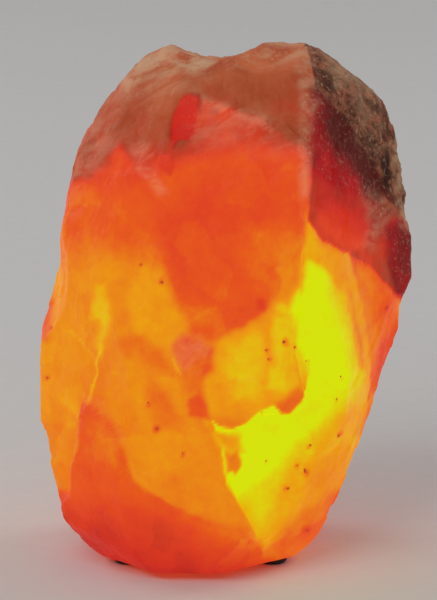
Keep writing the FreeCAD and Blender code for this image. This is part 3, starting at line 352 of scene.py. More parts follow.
# The skin's mesh: level rays from an upright axis up to the crown's centre, then rays that tip up round it.
# Up to a height, the axis leans over from the bore's to the rock's own. Columns crowd at front and channel.
SIDE_ROWS, TIP_ROWS, BORE_ROWS, UNDER_ROWS = 128, 69, 14, 16
CROWN_CENTRE = 150.0
ROCK_AXIS_X = 4.0
LEAN_HEIGHT = 90.0
BEARING_STEPS = 2048
FRONT_CROWDING, CHANNEL_CROWDING, CHANNEL_ANGLE = 0.42, 0.8, 0.11
BOX_MARGIN = 0.05
BORE_CHAMFER = (16.0, 20.0)
CHANNEL_EDGE = 0.3

# Sizes of the lattices that noise and flakes are drawn on, and how much a flake tilts.
NOISE_CELLS = 32
FLAKE_CELLS = 16
FLAKE_TILT = 0.5

# Noises on the rock: cell in millimetres, octaves where it is fractal, then seed.
SWELL_NOISE = (24, 3, 1)
GRIT_NOISE = (4.5, 3, 20)
FOLD_NOISE = (9, 3, 24)
CLOUD_NOISE = (13, 4, 45)
BORDER_NOISE = (22, 3, 35)
FLAKE_WARP = (7, 9)
FLAKE_NOISE = (11, 10)
PANE_NOISE = (17, 46)
BEHIND_PANES = (30, 30)
CHATTER_NOISE = (5, 60)

# What some of them come to on the skin: the depth of the clay's folds, the share of roughness that clay
# adds, the drift that moves flakes and the unevenness of the bore's wall, whose noise is squeezed along the
# bore. The swell and the folds count from a middle.
FOLD_DEPTH, CLAY_ROUGHENING, FLAKE_DRIFT, CHATTER = 1.1, 0.7, 3, 0.25
SWELL_MIDDLE, FOLD_MIDDLE = 0.05, 0.5
CHATTER_SQUEEZE = (1, 1, 3)
# What they come to in light levels, and at the border of the drawing.
CLOUD_LIGHT, PANE_LIGHT, BORDER_STRAY = 0.03, 0.024, 0.10

# Displacements of what is drawn: cell in millimetres, a seed for each axis, and how far.
SPACE_WARP = (8, (47, 48, 49), 3)
SHEET_WARPS = [(11, (40, 41), 2.4), (3.5, (42, 43), 1.0)]
# How the edges of fracture steps stray: weight, cell in millimetres and seed.
EDGE_STRAYS = [(1.6, 5, 70), (1.0, 2.2, 71)]

# Where the drawing sets in and where it holds, by how squarely the skin faces the viewer, as it is seen
# from the rock's axis between two heights.
DRAWN_FACING = (-0.52, -0.10)
MIDDLE_HEIGHTS = (40, 160)
# Light of the far side: level at the bulb, loss for each millimetre from it, which counts for less upwards,
# and change from pane to pane.
LAMP_LEVEL, LAMP_LOSS, PANE_CHANGE = 1.13, 0.0082, 0.07
LAMP_SHAPE = (1, 1, 0.9)
# Light of the front before the patches: how far down the sheet, and level.
LIGHT_ROWS = [(30, 0.13), (60, 0.18), (100, 0.22), (140, 0.26), (180, 0.46), (225, 0.56), (275, 0.64),
              (330, 0.70), (400, 0.70), (450, 0.66), (500, 0.54), (545, 0.42), (580, 0.34)]
# Light inside the bore: height, and level.
BORE_LIGHT = [(UNDERSIDE, 0.42), (60, 0.8), (100, 1.0), (BORE_TOP, 0.9)]
# Cover of the far side's skin: noise, then the way it grows along and where it starts.
CLAY_BEHIND = ((26, 50), (0.8, 0, 0.6), 134)
# The bloom behind grows upwards, paling the top as painted highlight where light falls from above.
BLOOM_AND_HIGHLIGHT_BEHIND = ((26, 52), (0, 0, 1), 172)
# How far its border strays and fades in, in millimetres, and its strength.
BEHIND_STRAY, BEHIND_FADE, BEHIND_STRENGTH = 30, 34, 0.75
# Shares of a patch's softness beyond which it is whole, and of a crack's width within which it is.
PATCH_WHOLE, CRACK_WHOLE = 0.6, 0.3

# Rolled threads of the bulb's cap and the holder's sleeve, in millimetres.
THREAD_ROWS, THREAD_COLUMNS = 90, 72
GROOVE_ROUNDING = 0.8
CAP_CREST, CAP_WALL, CAP_STEP, CAP_LIP, HEEL_INSET = 6.95, 0.25, 1.2, 1.0, 0.1
SLEEVE_CREST, SLEEVE_WALL, SLEEVE_SHARE = 7.1, 0.35, 0.9
# The filament's coil, in millimetres.
WIRE_RADIUS, WIRE_SIDES, STEPS_IN_TURN, COIL_CLEARANCE = 0.085, 6, 10, 0.02
# Angles in degrees over which an edge is shown sharp.
ROCK_SHARP, THREAD_SHARP = 58, 50

# Patterns of the salt: scale per metre, detail, roughness and distortion.
CLOUD = (55, 4, 0.55, 0.4)
MOTTLE = (260, 5, 0.62)
GRAIN = (900, 4, 0.7)
STREAKS = (240, 7, 0.74, 0.3)
VEIL = (60, 6, 0.64, 0.9)
CHIPS = (760, 4, 0.7)
CRYSTALS = 420
CLOUD_SWING, MOTTLE_SWING = 0.12, 0.10
# How those that run one way lie: degrees about Y, and how far drawn out along each turned axis.
STREAKS_LIE = (-38, (0.7, 1.0, 1.9))
VEIL_LIE = (-24, (1.3, 1.0, 0.5))
CHIPS_LIE = (-46, (1.0, 1.0, 2.0))
# Where each pattern turns from one look to the other, and the roughness that the mottle turns between.
CLOUD_TURN, MOTTLE_TURN, STREAKS_TURN = (0.28, 0.72), (0.3, 0.7), (0.38, 0.66)
VEIL_TURN, CHIPS_TURN, SMEAR_TURN = (0.36, 0.62), (0.54, 0.66), (0.42, 0.66)
SALT_ROUGHNESS = (0.30, 0.52)
# Covers of clay that stain the salt and then hide it, and of clay or bloom that carry painted glints.
STAINED_BY, CLAYEY_BY, PAINTED_GLINTS_BY = (0.05, 0.40), (0.45, 0.90), (0.31, 0.58)
# How far clay reddens the light, glow dims the colour under it, and painted glints pale the skin.
CLAY_REDDENS, GLOW_SHADE, PAINTED_GLINTS_PALE = 2.4, 0.10, 0.48
# Share of the light that wisps of bloom and painted highlight, clay and painted glints keep in.
WISPS_AND_HIGHLIGHTS_KEEP, CLAY_KEEPS, PAINTED_GLINTS_KEEP = 0.45, 0.55, 0.35
# Factors on the salt's and the clay's colours where they are deeper, paler and darkest, and the white added.
DEEPER, PALER, DARKEST, WHITER = (0.80, 0.55, 0.45), 1.18, 0.2, 0.02
# Roughness that a cover adds, and the heights of grain, crystals and ridges, and of the ridges on bare salt.
COVER_ROUGHNESS, GRAIN_HEIGHT, CRYSTAL_HEIGHT, RIDGE_HEIGHT, BARE_RIDGES = 0.22, 0.5, 0.45, 1.2, 0.2
# Bumps: height in metres and strength.
SALT_BUMP, GLASS_BUMP, MADE_BUMP_STRENGTH = (0.0009, 0.55), (0.0002, 0.15), 0.4
SALT_IOR, SALT_SPECULAR, GLASS_IOR = 1.54, 0.12, 1.5
# Strength of the specks' painted glow and of the hot filament's light, and how much brighter the wire is in
# places.
SPECK_GLOW, FILAMENT_GLOW, FILAMENT_BRIGHTER = 0.6, 24.0, 1.5
# Light levels where the salt stops being dark, where its daylight colour fades into the glow, and where it
# glows.
# The fade into the glow also paints shade on the salt below the crown's lit top.
DARK_UNTIL, DAYLIGHT_FADE_AND_SHADE_BY, SHOWN_BY = (-0.15, 0.08), (0.10, 0.38), (0.04, 0.46)
# Light level of each colour of the glow.
GLOW_STOPS = {
    "glow_dim": 0.00, "glow_brown": 0.22, "glow_red": 0.36, "glow_scarlet": 0.46, "glow_orange": 0.56,
    "glow_amber": 0.76, "glow_yellow": 0.98,
}

# Patterns of what is made, as for the salt: its grain without a scale, its smears, glass and hot wire.
MADE_GRAIN = (3, 0.6)
SMEAR = (160, 4, 0.6, 0.6)
DRAW_MARKS = (70, 2, 0.4)
WIRE_GRAIN = (1500, 2)
GRIME, GRIMINESS = (0.05, 0.045, 0.04), 0.55
SMEAR_ROUGHNESS, MADE_GRAIN_HEIGHT, SMEAR_HEIGHT = 0.14, 0.6, 0.4
BUSH_SHADE = 0.86

# Made surfaces: roughness, grain per metre, handling marks, bump in metres, metallic and coat.
FINISHES = {
    "Dark mineral": (0.7, 2400, 0.4, 0.0001, 0.0, 0.0),
    "Bulb cap metal": (0.28, 1400, 0.25, 0.0001, 1.0, 0.0),
    "Black glass": (0.12, 700, 0.1, 0.0001, 0.0, 0.0),
    "Solder": (0.42, 900, 0.4, 0.0003, 1.0, 0.0),
    "Basing cement": (0.85, 1200, 0.3, 0.0002, 0.0, 0.0),
    "Lead wire": (0.35, 2000, 0.2, 0.0001, 1.0, 0.0),
    "Contact brass": (0.30, 1500, 0.3, 0.0001, 1.0, 0.0),
    "Holder moulding": (0.42, 1800, 0.16, 0.0002, 0.0, 0.1),
    "Bush moulding": (0.5, 1600, 0.2, 0.0002, 0.0, 0.0),
    "Glazed ceramic": (0.14, 300, 0.1, 0.0002, 0.0, 0.4),
    "Spring bronze": (0.26, 1500, 0.2, 0.0001, 1.0, 0.0),
    "Spring steel": (0.24, 2600, 0.3, 0.0001, 1.0, 0.0),
    "Plated steel": (0.34, 1300, 0.35, 0.0001, 1.0, 0.0),
    "Foot rubber": (0.78, 1500, 0.3, 0.0003, 0.0, 0.0),
    "Pale floor": (0.72, 300, 0.03, 0.0002, 0.0, 0.0),
}

# Each light's place and size in metres, and the setting that holds its power.
LIGHTS = {
    "key_light": ((-0.9, -1.5, 1.7), 1.4, "key"),
    "left_rim_light": ((-1.3, 0.9, 0.9), 0.7, "rim"),
    "right_rim_light": ((1.3, 0.8, 1.0), 0.7, "rim"),
}
ROOM_COLOUR = (0.96, 0.97, 1.0, 1)
FLOOR_REACH, FLOOR_LINES = 9, 13
SENSOR_HEIGHT, SIGHT_END = 24, 50

# A ray that runs nearly along a plane, a distance past everything, and no light at all.
GRAZING = 1e-6
FAR = 1e4
BLACK = (0.0, 0.0, 0.0)


def display(red, green, blue):
    """Scene-linear colour of a display colour whose channels run from 0 to 255."""
    channels = np.array([red, green, blue]) / 255
    linear = np.where(channels <= 0.04045, channels / 12.92, ((channels + 0.055) / 1.055) ** 2.4)
    return tuple(float(c) for c in linear)


# ---------------------------------------------------------------- settings


def a_length(name, description, default, least=0.0):
    """A length in metres that a user may change."""
    return bpy.props.FloatProperty(
        name=name, description=description, default=default, min=least, unit="LENGTH")


def a_colour(name, description, default):
    """A colour that a user may change."""
    return bpy.props.FloatVectorProperty(
        name=name, description=description, subtype="COLOR", default=default, min=0, max=1)


def a_light(name, description, default, unit="POWER"):
    """A light's power that a user may change."""
    return bpy.props.FloatProperty(name=name, description=description, default=default, min=0, unit=unit)


class RockSettings(bpy.types.PropertyGroup):
    """What a user may change on the rock."""

    arris: a_length("Arris", "How far the arrises between cleavage faces are worn round", 0.0005, 0.0001)
    swell: a_length("Swell", "Depth of the slow unevenness of every face", 0.0004)
    flake: a_length("Flakes", "Height of the thin flakes that the faces break into", 0.0004)
    grit: a_length("Grit", "Depth of the fine roughness, greater on the clayey flank", 0.0003)
    columns: bpy.props.IntProperty(
        name="Columns", description="Mesh columns round the rock", default=420, min=120, max=420)
    glow: a_light("Glow", "Strength of the light that comes through the salt", 0.92, "NONE")
    glow_dim: a_colour("Glow, thickest", "Light through the thickest salt", display(62, 22, 16))
    glow_brown: a_colour("Glow, very thick", "Light through very thick salt", display(168, 60, 32))
    glow_red: a_colour("Glow, thick", "Light through thick salt", display(212, 60, 32))
    glow_scarlet: a_colour("Glow, fairly thick", "Light through fairly thick salt", display(226, 68, 30))
    glow_orange: a_colour("Glow, middling", "Light through salt of middling thickness", display(232, 88, 22))
    glow_amber: a_colour("Glow, thin", "Light through thin salt", display(238, 154, 8))
    glow_yellow: a_colour("Glow, thinnest", "Light through the thinnest salt", display(217, 230, 0))
    glow_clayey: a_colour("Glow, clayey", "What clayey salt makes of the light in it", (0.95, 0.27, 1.0))
    salmon: a_colour("Salt", "Colour of the salt by daylight", display(216, 116, 66))
    stained: a_colour("Stained salt", "Salt that clay has stained", display(118, 36, 28))
    clay: a_colour("Clay", "Colour of the clayey skin", display(196, 116, 86))
    # The bloom's colour also paints highlights on the lit top, rims and edges.
    bloom: a_colour("Bloom", "Colour of the dull whitish bloom", display(228, 184, 144))


class FittingSettings(bpy.types.PropertyGroup):
    """What a user may change on the holder and the bulb."""

    thread_lead: a_length("Thread lead", "Rise of the cap's rolled thread in one turn", 0.00282, 0.001)
    thread_depth: a_length("Thread depth", "Depth of the cap's rolled thread", 0.00055)
    filament_turns: bpy.props.IntProperty(
        name="Filament turns", description="Turns of the filament's coil", default=64, min=8)
    plastic: a_colour("Plastic", "Colour of the holder's mouldings", display(226, 222, 212))
    brass: a_colour("Brass", "Colour of the contacts", display(206, 166, 96))
    steel: a_colour("Steel", "Colour of the clip and the screws", display(186, 188, 192))
    rubber: a_colour("Rubber", "Colour of the feet", display(38, 37, 36))


class StageSettings(bpy.types.PropertyGroup):
    """What a user may change on the stage."""

    floor: a_colour("Floor", "Colour of the floor", display(226, 224, 220))
    eye_rise: bpy.props.FloatProperty(
        name="Eye rise", description="How far above level the camera looks from",
        default=SHEET_RISE, subtype="ANGLE", unit="ROTATION")
    eye_distance: a_length("Eye distance", "From the camera to the lamp", 3.0, 0.5)
    key: a_light("Key light", "Power of the large light above and to the left", 15.0)
    rim: a_light("Rim lights", "Power of the two lights behind the lamp", 5.0)
    air: a_light("Room light", "Strength of the even light of the room", 0.30, "NONE")


# ---------------------------------------------------------------- numbers on a surface


def value_noise(points, cell, seed):
    """Smooth noise from -1 to 1: random values on a cubic lattice, blended by a quintic between corners."""
    lattice = np.random.default_rng(seed).uniform(-1, 1, (NOISE_CELLS,) * 3)
    place = points / cell + 3 * NOISE_CELLS
    low = np.floor(place).astype(int)
    part = place - low
    part = part**3 * (part * (part * 6 - 15) + 10)
    total = np.zeros(len(points))
    for corner in np.ndindex(2, 2, 2):
        weight = np.prod(np.where(corner, part, 1 - part), axis=1)
        i, j, k = ((low + corner) % NOISE_CELLS).T
        total += weight * lattice[i, j, k]
    return total


def fractal(points, cell, octaves, seed):
    """Noise at a cell size and its halves, each half as strong as the one before."""
    return sum(value_noise(points, cell / 2**k, seed + k) / 2**k for k in range(octaves))


def displacement(points, cell, seeds, reach):
    """Noise along each of several axes, up to a reach."""
    return np.stack([value_noise(points, cell, seed) for seed in seeds], axis=1) * reach


def flakes(points, cell, seed):
    """Random height of the flake that a point lies on, from -1 to 1, each flake tilted a little.

    Space is split into the regions nearest to one jittered centre per cubic cell.
    """
    rng = np.random.default_rng(seed)
    grid = (FLAKE_CELLS,) * 3
    jitter = rng.uniform(0.1, 0.9, (*grid, 3))
    height = rng.uniform(-1, 1, grid)
    tilt = rng.normal(0, FLAKE_TILT, (*grid, 3))
    place = points / cell + 5 * FLAKE_CELLS
    low = np.floor(place).astype(int)
    nearest = np.full(len(points), np.inf)
    result = np.zeros(len(points))
    for step in np.ndindex(3, 3, 3):
        index = low + np.array(step) - 1
        i, j, k = (index % FLAKE_CELLS).T
        away = place - (index + jitter[i, j, k])
        distance = (away**2).sum(1)
        closer = distance < nearest
        nearest = np.where(closer, distance, nearest)
        result = np.where(closer, height[i, j, k] + (tilt[i, j, k] * away).sum(1), result)
    return result


def smooth_step(values, low, high):
    """0 below low, 1 above high, and a smooth rise between them."""
    part = np.clip((values - low) / (high - low), 0, 1)
    return part * part * (3 - 2 * part)


def distance_to_path(places, path):
    """Least distance in the plane from each place to an open path."""
    nearest = np.full(len(places), np.inf)
    path = np.array(path, float)
    for start, end in zip(path, path[1:]):
        run = end - start
        along = np.clip(((places - start) @ run) / (run @ run), 0, 1)
        nearest = np.minimum(nearest, np.linalg.norm(places - start - along[:, None] * run, axis=1))
    return nearest


def inside_by(places, outline):
    """Distance to a closed outline, positive inside it and negative outside."""
    corners = np.array(outline, float)
    closed = np.vstack([corners, corners[:1]])
    inside = np.zeros(len(places), bool)
    for (x0, y0), (x1, y1) in zip(closed, closed[1:]):
        crosses = (y0 > places[:, 1]) != (y1 > places[:, 1])
        if y0 != y1:
            inside ^= crosses & (places[:, 0] < x0 + (places[:, 1] - y0) * (x1 - x0) / (y1 - y0))
    return np.where(inside, 1, -1) * distance_to_path(places, closed)


def on_sheet(points):
    """Where points of the rock fall on the front drawing's sheet."""
    rise = points[:, 2] * math.cos(SHEET_RISE) + points[:, 1] * math.sin(SHEET_RISE)
    across = SHEET_MIDDLE + SHEET_SCALE * points[:, 0]
    return np.stack([across, SHEET_FLOOR - SHEET_SCALE * rise], axis=1)


# ---------------------------------------------------------------- the rock's shape


def direction(bearing, rise):
    """Unit vector at a bearing in degrees from +X, anticlockwise from above, and a rise above level."""
    bearing, rise = math.radians(bearing), math.radians(rise)
    flat = math.cos(rise)
    return np.array([flat * math.cos(bearing), flat * math.sin(bearing), math.sin(rise)])


def drawn(point):
    """A point of the drawing, whose heights count from the underside, in the row frame."""
    return np.array(point, float) + (0, 0, UNDERSIDE)


def section_reach(section, bearing):
    """How far a section's ellipse reaches towards a bearing in degrees."""
    _, left, right, front, back = section
    across, along = math.cos(math.radians(bearing)), math.sin(math.radians(bearing))
    centre = (right - left) / 2 * across + (back - front) / 2 * along
    return centre + math.hypot((right + left) / 2 * across, (back + front) / 2 * along)


def cleavage_planes():
    """Normals and offsets of every plane face: tangent to each pair of sections, the single faces, the chips
    in all of those, and the flat top."""
    faces = list(CLEAVAGES)
    for band, (low, high) in enumerate(zip(SECTIONS, SECTIONS[1:])):
        for k in range(FACES_PER_BAND):
            bearing = 360 * k / FACES_PER_BAND
            if bearing % 90:
                bearing += FACE_WANDER * math.sin(FACE_PHASE * k + BAND_PHASE * band)
            outer, upper = section_reach(low, bearing), section_reach(high, bearing)
            rise = math.degrees(math.atan2(outer - upper, high[0] - low[0]))
            level = direction(bearing, 0)
            faces.append(((level[0] * outer, level[1] * outer, low[0]), bearing, rise))
    normals, offsets = as_planes(faces)
    place = np.arange(CHIP_COUNT)
    height = UNDERSIDE + CHIP_LOWEST + (CHIP_HIGHEST - CHIP_LOWEST) * (place + 0.5) / CHIP_COUNT
    origins = np.stack([0 * height, 0 * height, height], axis=1)
    rays = np.array([direction(CHIP_TURN * k, 0) for k in place])
    met = reach_of_planes(origins, rays, normals, offsets)
    chips = origins + rays * (met.min(axis=1) - CHIP_DEPTH)[:, None]
    for k, hit in enumerate(met.argmin(axis=1)):
        _, bearing, rise = faces[hit]
        lean = CHIP_PHASE * k
        point = chips[k] - (0, 0, UNDERSIDE)
        faces.append((point, bearing + CHIP_TILT * math.cos(lean), rise + CHIP_TILT * math.sin(lean)))
    faces.append(((0, 0, SECTIONS[-1][0]), 0, 90))
    return as_planes(faces)


def as_planes(faces):
    """Normals and offsets of faces given by a point of the drawing, a bearing and a rise."""
    normals = np.array([direction(bearing, rise) for _, bearing, rise in faces])
    offsets = np.array([normal @ drawn(point) for normal, (point, _, _) in zip(normals, faces)])
    return normals, offsets


def reach_of_planes(origins, rays, normals, offsets):
    """Distance along each ray to each plane that it goes out through, and a long way to the others."""
    going = rays @ normals.T
    left = offsets - origins @ normals.T
    return np.where(going > GRAZING, left / np.maximum(going, GRAZING), FAR)


def blended_least(distances, arris):
    """Least of the distances along the last axis, rounded off where two are nearly equal."""
    least = distances.min(axis=-1, keepdims=True)
    return (least - arris * np.log(np.exp((least - distances) / arris).sum(axis=-1, keepdims=True)))[..., 0]


def hollowed(reach, middle, spread, arris):
    """The reach cut back to where a ray enters a round hollow that it would otherwise end in. The ray is in
    the hollow within the root of its spread, where that is positive, of its middle."""
    half = np.sqrt(np.maximum(spread, 0))
    near, far = middle - half, middle + half
    near = np.where((spread > 0) & (far > reach) & (near > 0), near, FAR)
    return blended_least(np.stack([reach, near], axis=-1), arris)


def reach_of_rock(origins, rays, arris):
    """Distance from origins inside the rock to its skin: the nearest cleavage plane, then each ball and each
    round bar that the ray meets, then the floors of the fracture steps within their outlines on the sheet."""
    reach = blended_least(reach_of_planes(origins, rays, *cleavage_planes()), arris)
    for centre, radius in BITES:
        offset = drawn(centre) - origins
        middle = (offset * rays).sum(1)
        reach = hollowed(reach, middle, middle**2 - (offset**2).sum(1) + radius**2, arris)
    for centre, bearing, rise, radius in TROUGHS:
        axis = direction(bearing, rise)
        offset = drawn(centre) - origins
        offset = offset - (offset @ axis)[:, None] * axis
        flat = rays - (rays @ axis)[:, None] * axis
        width = np.maximum((flat**2).sum(1), 1e-9)
        middle = (offset * flat).sum(1) / width
        reach = hollowed(reach, middle, middle**2 - ((offset**2).sum(1) - radius**2) / width, arris)
    for outline, stray, wall, floors in STEPS.values():
        floor = np.minimum(reach_of_planes(origins, rays, *as_planes(floors)).min(axis=1), reach)
        middle = origins + rays * ((floor + reach) / 2)[:, None]
        ragged = stray * sum(weight * value_noise(middle, cell, seed) for weight, cell, seed in EDGE_STRAYS)
        within = smooth_step(inside_by(on_sheet(middle), outline) + ragged, -wall, wall)
        reach = reach + (floor - reach) * np.where(middle[:, 1] < 0, within, 0)
    return reach


def column_bearings(count):
    """Bearings of the mesh's columns in radians: even places in the running sum of how close they stand."""
    bearing = np.linspace(0, 2 * math.pi, BEARING_STEPS, endpoint=False)
    from_back = (bearing - math.pi / 2 + math.pi) % (2 * math.pi) - math.pi
    near_channel = np.exp(-((from_back / CHANNEL_ANGLE) ** 2))
    density = 1 - FRONT_CROWDING * np.cos(from_back) + CHANNEL_CROWDING * near_channel
    running = np.concatenate([[0], np.cumsum(density)])
    places = np.arange(count) / count * running[-1]
    return np.interp(places, running, np.linspace(0, 2 * math.pi, BEARING_STEPS + 1))


def skin_rays(bearings):
    """Origins and rays of the skin, by rows: level rays up the side, then rays that tip up at the crown."""
    side = np.linspace(UNDERSIDE, CROWN_CENTRE, SIDE_ROWS)
    tip = np.linspace(0, math.pi / 2, TIP_ROWS + 2)[1:-1]
    heights = np.concatenate([side, np.full(len(tip), CROWN_CENTRE)])
    rises = np.concatenate([np.zeros(len(side)), tip])
    across = BORE_X + (ROCK_AXIS_X - BORE_X) * smooth_step(heights, UNDERSIDE, LEAN_HEIGHT)
    rows, columns = np.meshgrid(np.arange(len(heights)), bearings, indexing="ij")
    origins = np.stack([across[rows], np.zeros(rows.shape), heights[rows]], axis=-1)
    flat = np.cos(rises[rows])
    rays = np.stack([flat * np.cos(columns), flat * np.sin(columns), np.sin(rises[rows])], axis=-1)
    return origins, rays


def paint(places, patches, start):
    """Values laid over the sheet one patch after another, each fading in across its soft edge."""
    value = start
    for strength, softness, outline in patches:
        cover = smooth_step(inside_by(places, outline), -softness / 2, softness / 2)
        value = value + (strength - value) * cover
    return value


def lay_over(places, patches):
    """The strongest of several soft patches at each place."""
    value = np.zeros(len(places))
    for strength, softness, outline in patches:
        cover = smooth_step(inside_by(places, outline), -softness, softness * PATCH_WHOLE)
        value = np.maximum(value, strength * cover)
    return value


def drawn_share(points):
    """1 on the side that the front drawing shows, 0 on the far side, and a rise between them: from
    the component towards the viewer of each point's direction from the rock's upright axis."""
    heights = np.clip(points[:, 2], *MIDDLE_HEIGHTS)
    axis = np.stack([np.full(len(points), ROCK_AXIS_X), np.zeros(len(points)), heights], axis=1)
    outward = points - axis
    facing = outward @ direction(270, math.degrees(SHEET_RISE)) / np.linalg.norm(outward, axis=1)
    return smooth_step(facing + BORDER_STRAY * fractal(points, *BORDER_NOISE), *DRAWN_FACING)


def light_through(points, share):
    """Light level at points of the skin: by the drawing in front, by distance from the bulb behind."""
    lamp = np.array([BORE_X, 0, (BULB_LOW[2] + BULB_HIGH[2]) / 2])
    away = np.linalg.norm((points - lamp) * LAMP_SHAPE, axis=1)
    panes = flakes(points + 2 * displacement(points, *SPACE_WARP), *BEHIND_PANES)
    behind = LAMP_LEVEL - LAMP_LOSS * away + PANE_CHANGE * panes
    places = on_sheet(points)
    for warp in SHEET_WARPS:
        places = places + displacement(points, *warp)
    front = paint(places, LIGHT_PATCHES, np.interp(places[:, 1], *zip(*LIGHT_ROWS)))
    for strength, width, path in LIGHT_CRACKS:
        cover = 1 - smooth_step(distance_to_path(places, path), width * CRACK_WHOLE, width)
        front = np.maximum(front, front + (strength - front) * cover)
    for across, down, radius in SHEET_SPECKS:
        away = np.linalg.norm(places - (across, down), axis=1) / (radius * SHEET_SCALE)
        front = front - SPECK_DIMMING * np.exp(-(away**2) / 2)
    panes = flakes(points + displacement(points, *SPACE_WARP), *PANE_NOISE)
    front = front + CLOUD_LIGHT * fractal(points, *CLOUD_NOISE) + PANE_LIGHT * panes
    return behind + (front - behind) * share


def skin_cover(points, share, patches, stain, towards, start):
    """Cover by bloom and painted highlight, or clay: by the drawing in front, and from a start along a
    direction behind.
    """
    far_along = points @ np.array(towards) + BEHIND_STRAY * value_noise(points, *stain)
    behind = smooth_step(far_along, start, start + BEHIND_FADE) * BEHIND_STRENGTH
    return behind + (lay_over(on_sheet(points), patches) - behind) * share


def closed_faces(rows, columns):
    """Quads between the rows of a closed grid, and triangles from its end rows to the two poles after it."""
    grid = np.arange(rows * columns).reshape(rows, columns)
    beside = np.roll(grid, -1, axis=1)
    quads = np.stack([grid[:-1], beside[:-1], beside[1:], grid[1:]], axis=-1).reshape(-1, 4)
    first = np.stack([np.full(columns, grid.size), beside[0], grid[0]], axis=-1)
    last = np.stack([grid[-1], beside[-1], np.full(columns, grid.size + 1)], axis=-1)
    return quads.tolist() + first.tolist() + last.tolist()


def worn(hewn, rays, clay, settings):
    """The hewn skin moved along its rays by swell, flakes, grit and the clay's folds, kept inside the box."""
    swell, flake, grit = (value / MM for value in (settings.swell, settings.flake, settings.grit))
    rough = 1 + CLAY_ROUGHENING * clay
    drifted = hewn + FLAKE_DRIFT * value_noise(hewn, *FLAKE_WARP)[:, None]
    relief = (
        swell * (fractal(hewn, *SWELL_NOISE) - SWELL_MIDDLE)
        + flake * rough * flakes(drifted, *FLAKE_NOISE)
        + grit * rough * fractal(hewn, *GRIT_NOISE)
        + FOLD_DEPTH * clay * (FOLD_MIDDLE - np.abs(fractal(hewn, *FOLD_NOISE)))
    )
    return np.clip(hewn + rays * relief[:, None], ROCK_LOW + BOX_MARGIN, ROCK_HIGH - BOX_MARGIN)


def bore_lining(turn):
    """The bore's wall, left a little uneven by the drill, as rings from its end down to its mouth, along
    the unit vectors of the turn."""
    profile = (
        [(BORE_END_RADIUS * part, BORE_TOP) for part in (0.5, 1.0)]
        + [(radius, BORE_TOP - (radius - BORE_END_RADIUS)) for radius in BORE_CHAMFER]
        + [(BORE_RADIUS, z) for z in np.linspace(BORE_SHOULDER, UNDERSIDE + MOUTH_FLARE, BORE_ROWS)]
        + [(BORE_RADIUS + MOUTH_FLARE, UNDERSIDE)]
    )
    lining = np.array([
        np.column_stack([BORE_X + radius * turn[:, 0], radius * turn[:, 1], np.full(len(turn), height)])
        for radius, height in profile
    ])
    chatter = value_noise(lining.reshape(-1, 3) * CHATTER_SQUEEZE, *CHATTER_NOISE).reshape(lining.shape[:2])
    lining[2:-1, :, :2] += CHATTER * chatter[2:-1, :, None] * turn
    return lining


def rock_surface(settings):
    """The whole rock as one closed grid, row by row from the end of the bore, down its wall, out over the
    underside, up the skin and in to the crown, with the light level and the covers of each point."""
    bearings = column_bearings(settings.columns)
    origins, rays = skin_rays(bearings)
    shape = origins.shape
    origins, rays = origins.reshape(-1, 3), rays.reshape(-1, 3)
    hewn = origins + rays * reach_of_rock(origins, rays, settings.arris / MM)[:, None]
    share = drawn_share(hewn)
    clay = skin_cover(hewn, share, CLAY_PATCHES, *CLAY_BEHIND)
    # Bloom here also holds painted highlights on the lit top, rims and edges.
    bloom = skin_cover(hewn, share, BLOOM_AND_HIGHLIGHT_PATCHES, *BLOOM_AND_HIGHLIGHT_BEHIND)
    light = light_through(hewn, share)
    skin = worn(hewn, rays, clay, settings).reshape(shape)
    skin[0, :, 2] = UNDERSIDE

    inner = bore_lining(np.stack([np.cos(bearings), np.sin(bearings)], axis=1))
    outward = np.linspace(0, 1, UNDER_ROWS + 2)[1:-1, None, None]
    under = inner[-1] + (skin[0] - inner[-1]) * outward
    points = np.concatenate([inner, under, skin])
    half = np.abs(points[..., 0] - BORE_X)
    beside = smooth_step(half, CHANNEL_HALF_WIDTH - CHANNEL_EDGE, CHANNEL_HALF_WIDTH + CHANNEL_EDGE)
    channel = (1 - beside) * (points[..., 1] > 0)
    points[..., 2] = np.maximum(points[..., 2], UNDERSIDE + CHANNEL_HEIGHT * channel)

    lining = points[:len(inner) + len(under)]
    glow_inside = np.interp(lining[..., 2], *zip(*BORE_LIGHT)).ravel()
    bare = np.zeros(len(glow_inside))
    covers = {"light_level": (glow_inside, light), "bloom": (bare, bloom), "clay": (bare, clay)}
    return points, {name: np.concatenate(parts) for name, parts in covers.items()}


# ---------------------------------------------------------------- meshes


def new_object(name, points, faces, material, body, slot, sharp=None):
    """A mesh object in metres whose faces point outwards, riding on a body of the frame. Edges that turn by
    more than a sharp angle in degrees are shown sharp."""
    mesh = bpy.data.meshes.new(name)
    mesh.from_pydata((np.asarray(points) * MM).tolist(), [], faces)
    mesh.polygons.foreach_set("use_smooth", np.ones(len(mesh.polygons), bool))
    if sharp:
        mesh.set_sharp_from_angle(angle=math.radians(sharp))
    mesh.materials.append(material)
    mesh.update()
    obj = bpy.data.objects.new(name, mesh)
    bpy.context.scene.collection.objects.link(obj)
    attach(obj, body)
    return obj


def add_values(mesh, name, values):
    """Stores one number for each vertex under a name that materials read."""
    attribute = mesh.attributes.new(name, "FLOAT", "POINT")
    attribute.data.foreach_set("value", np.asarray(values, np.float32))


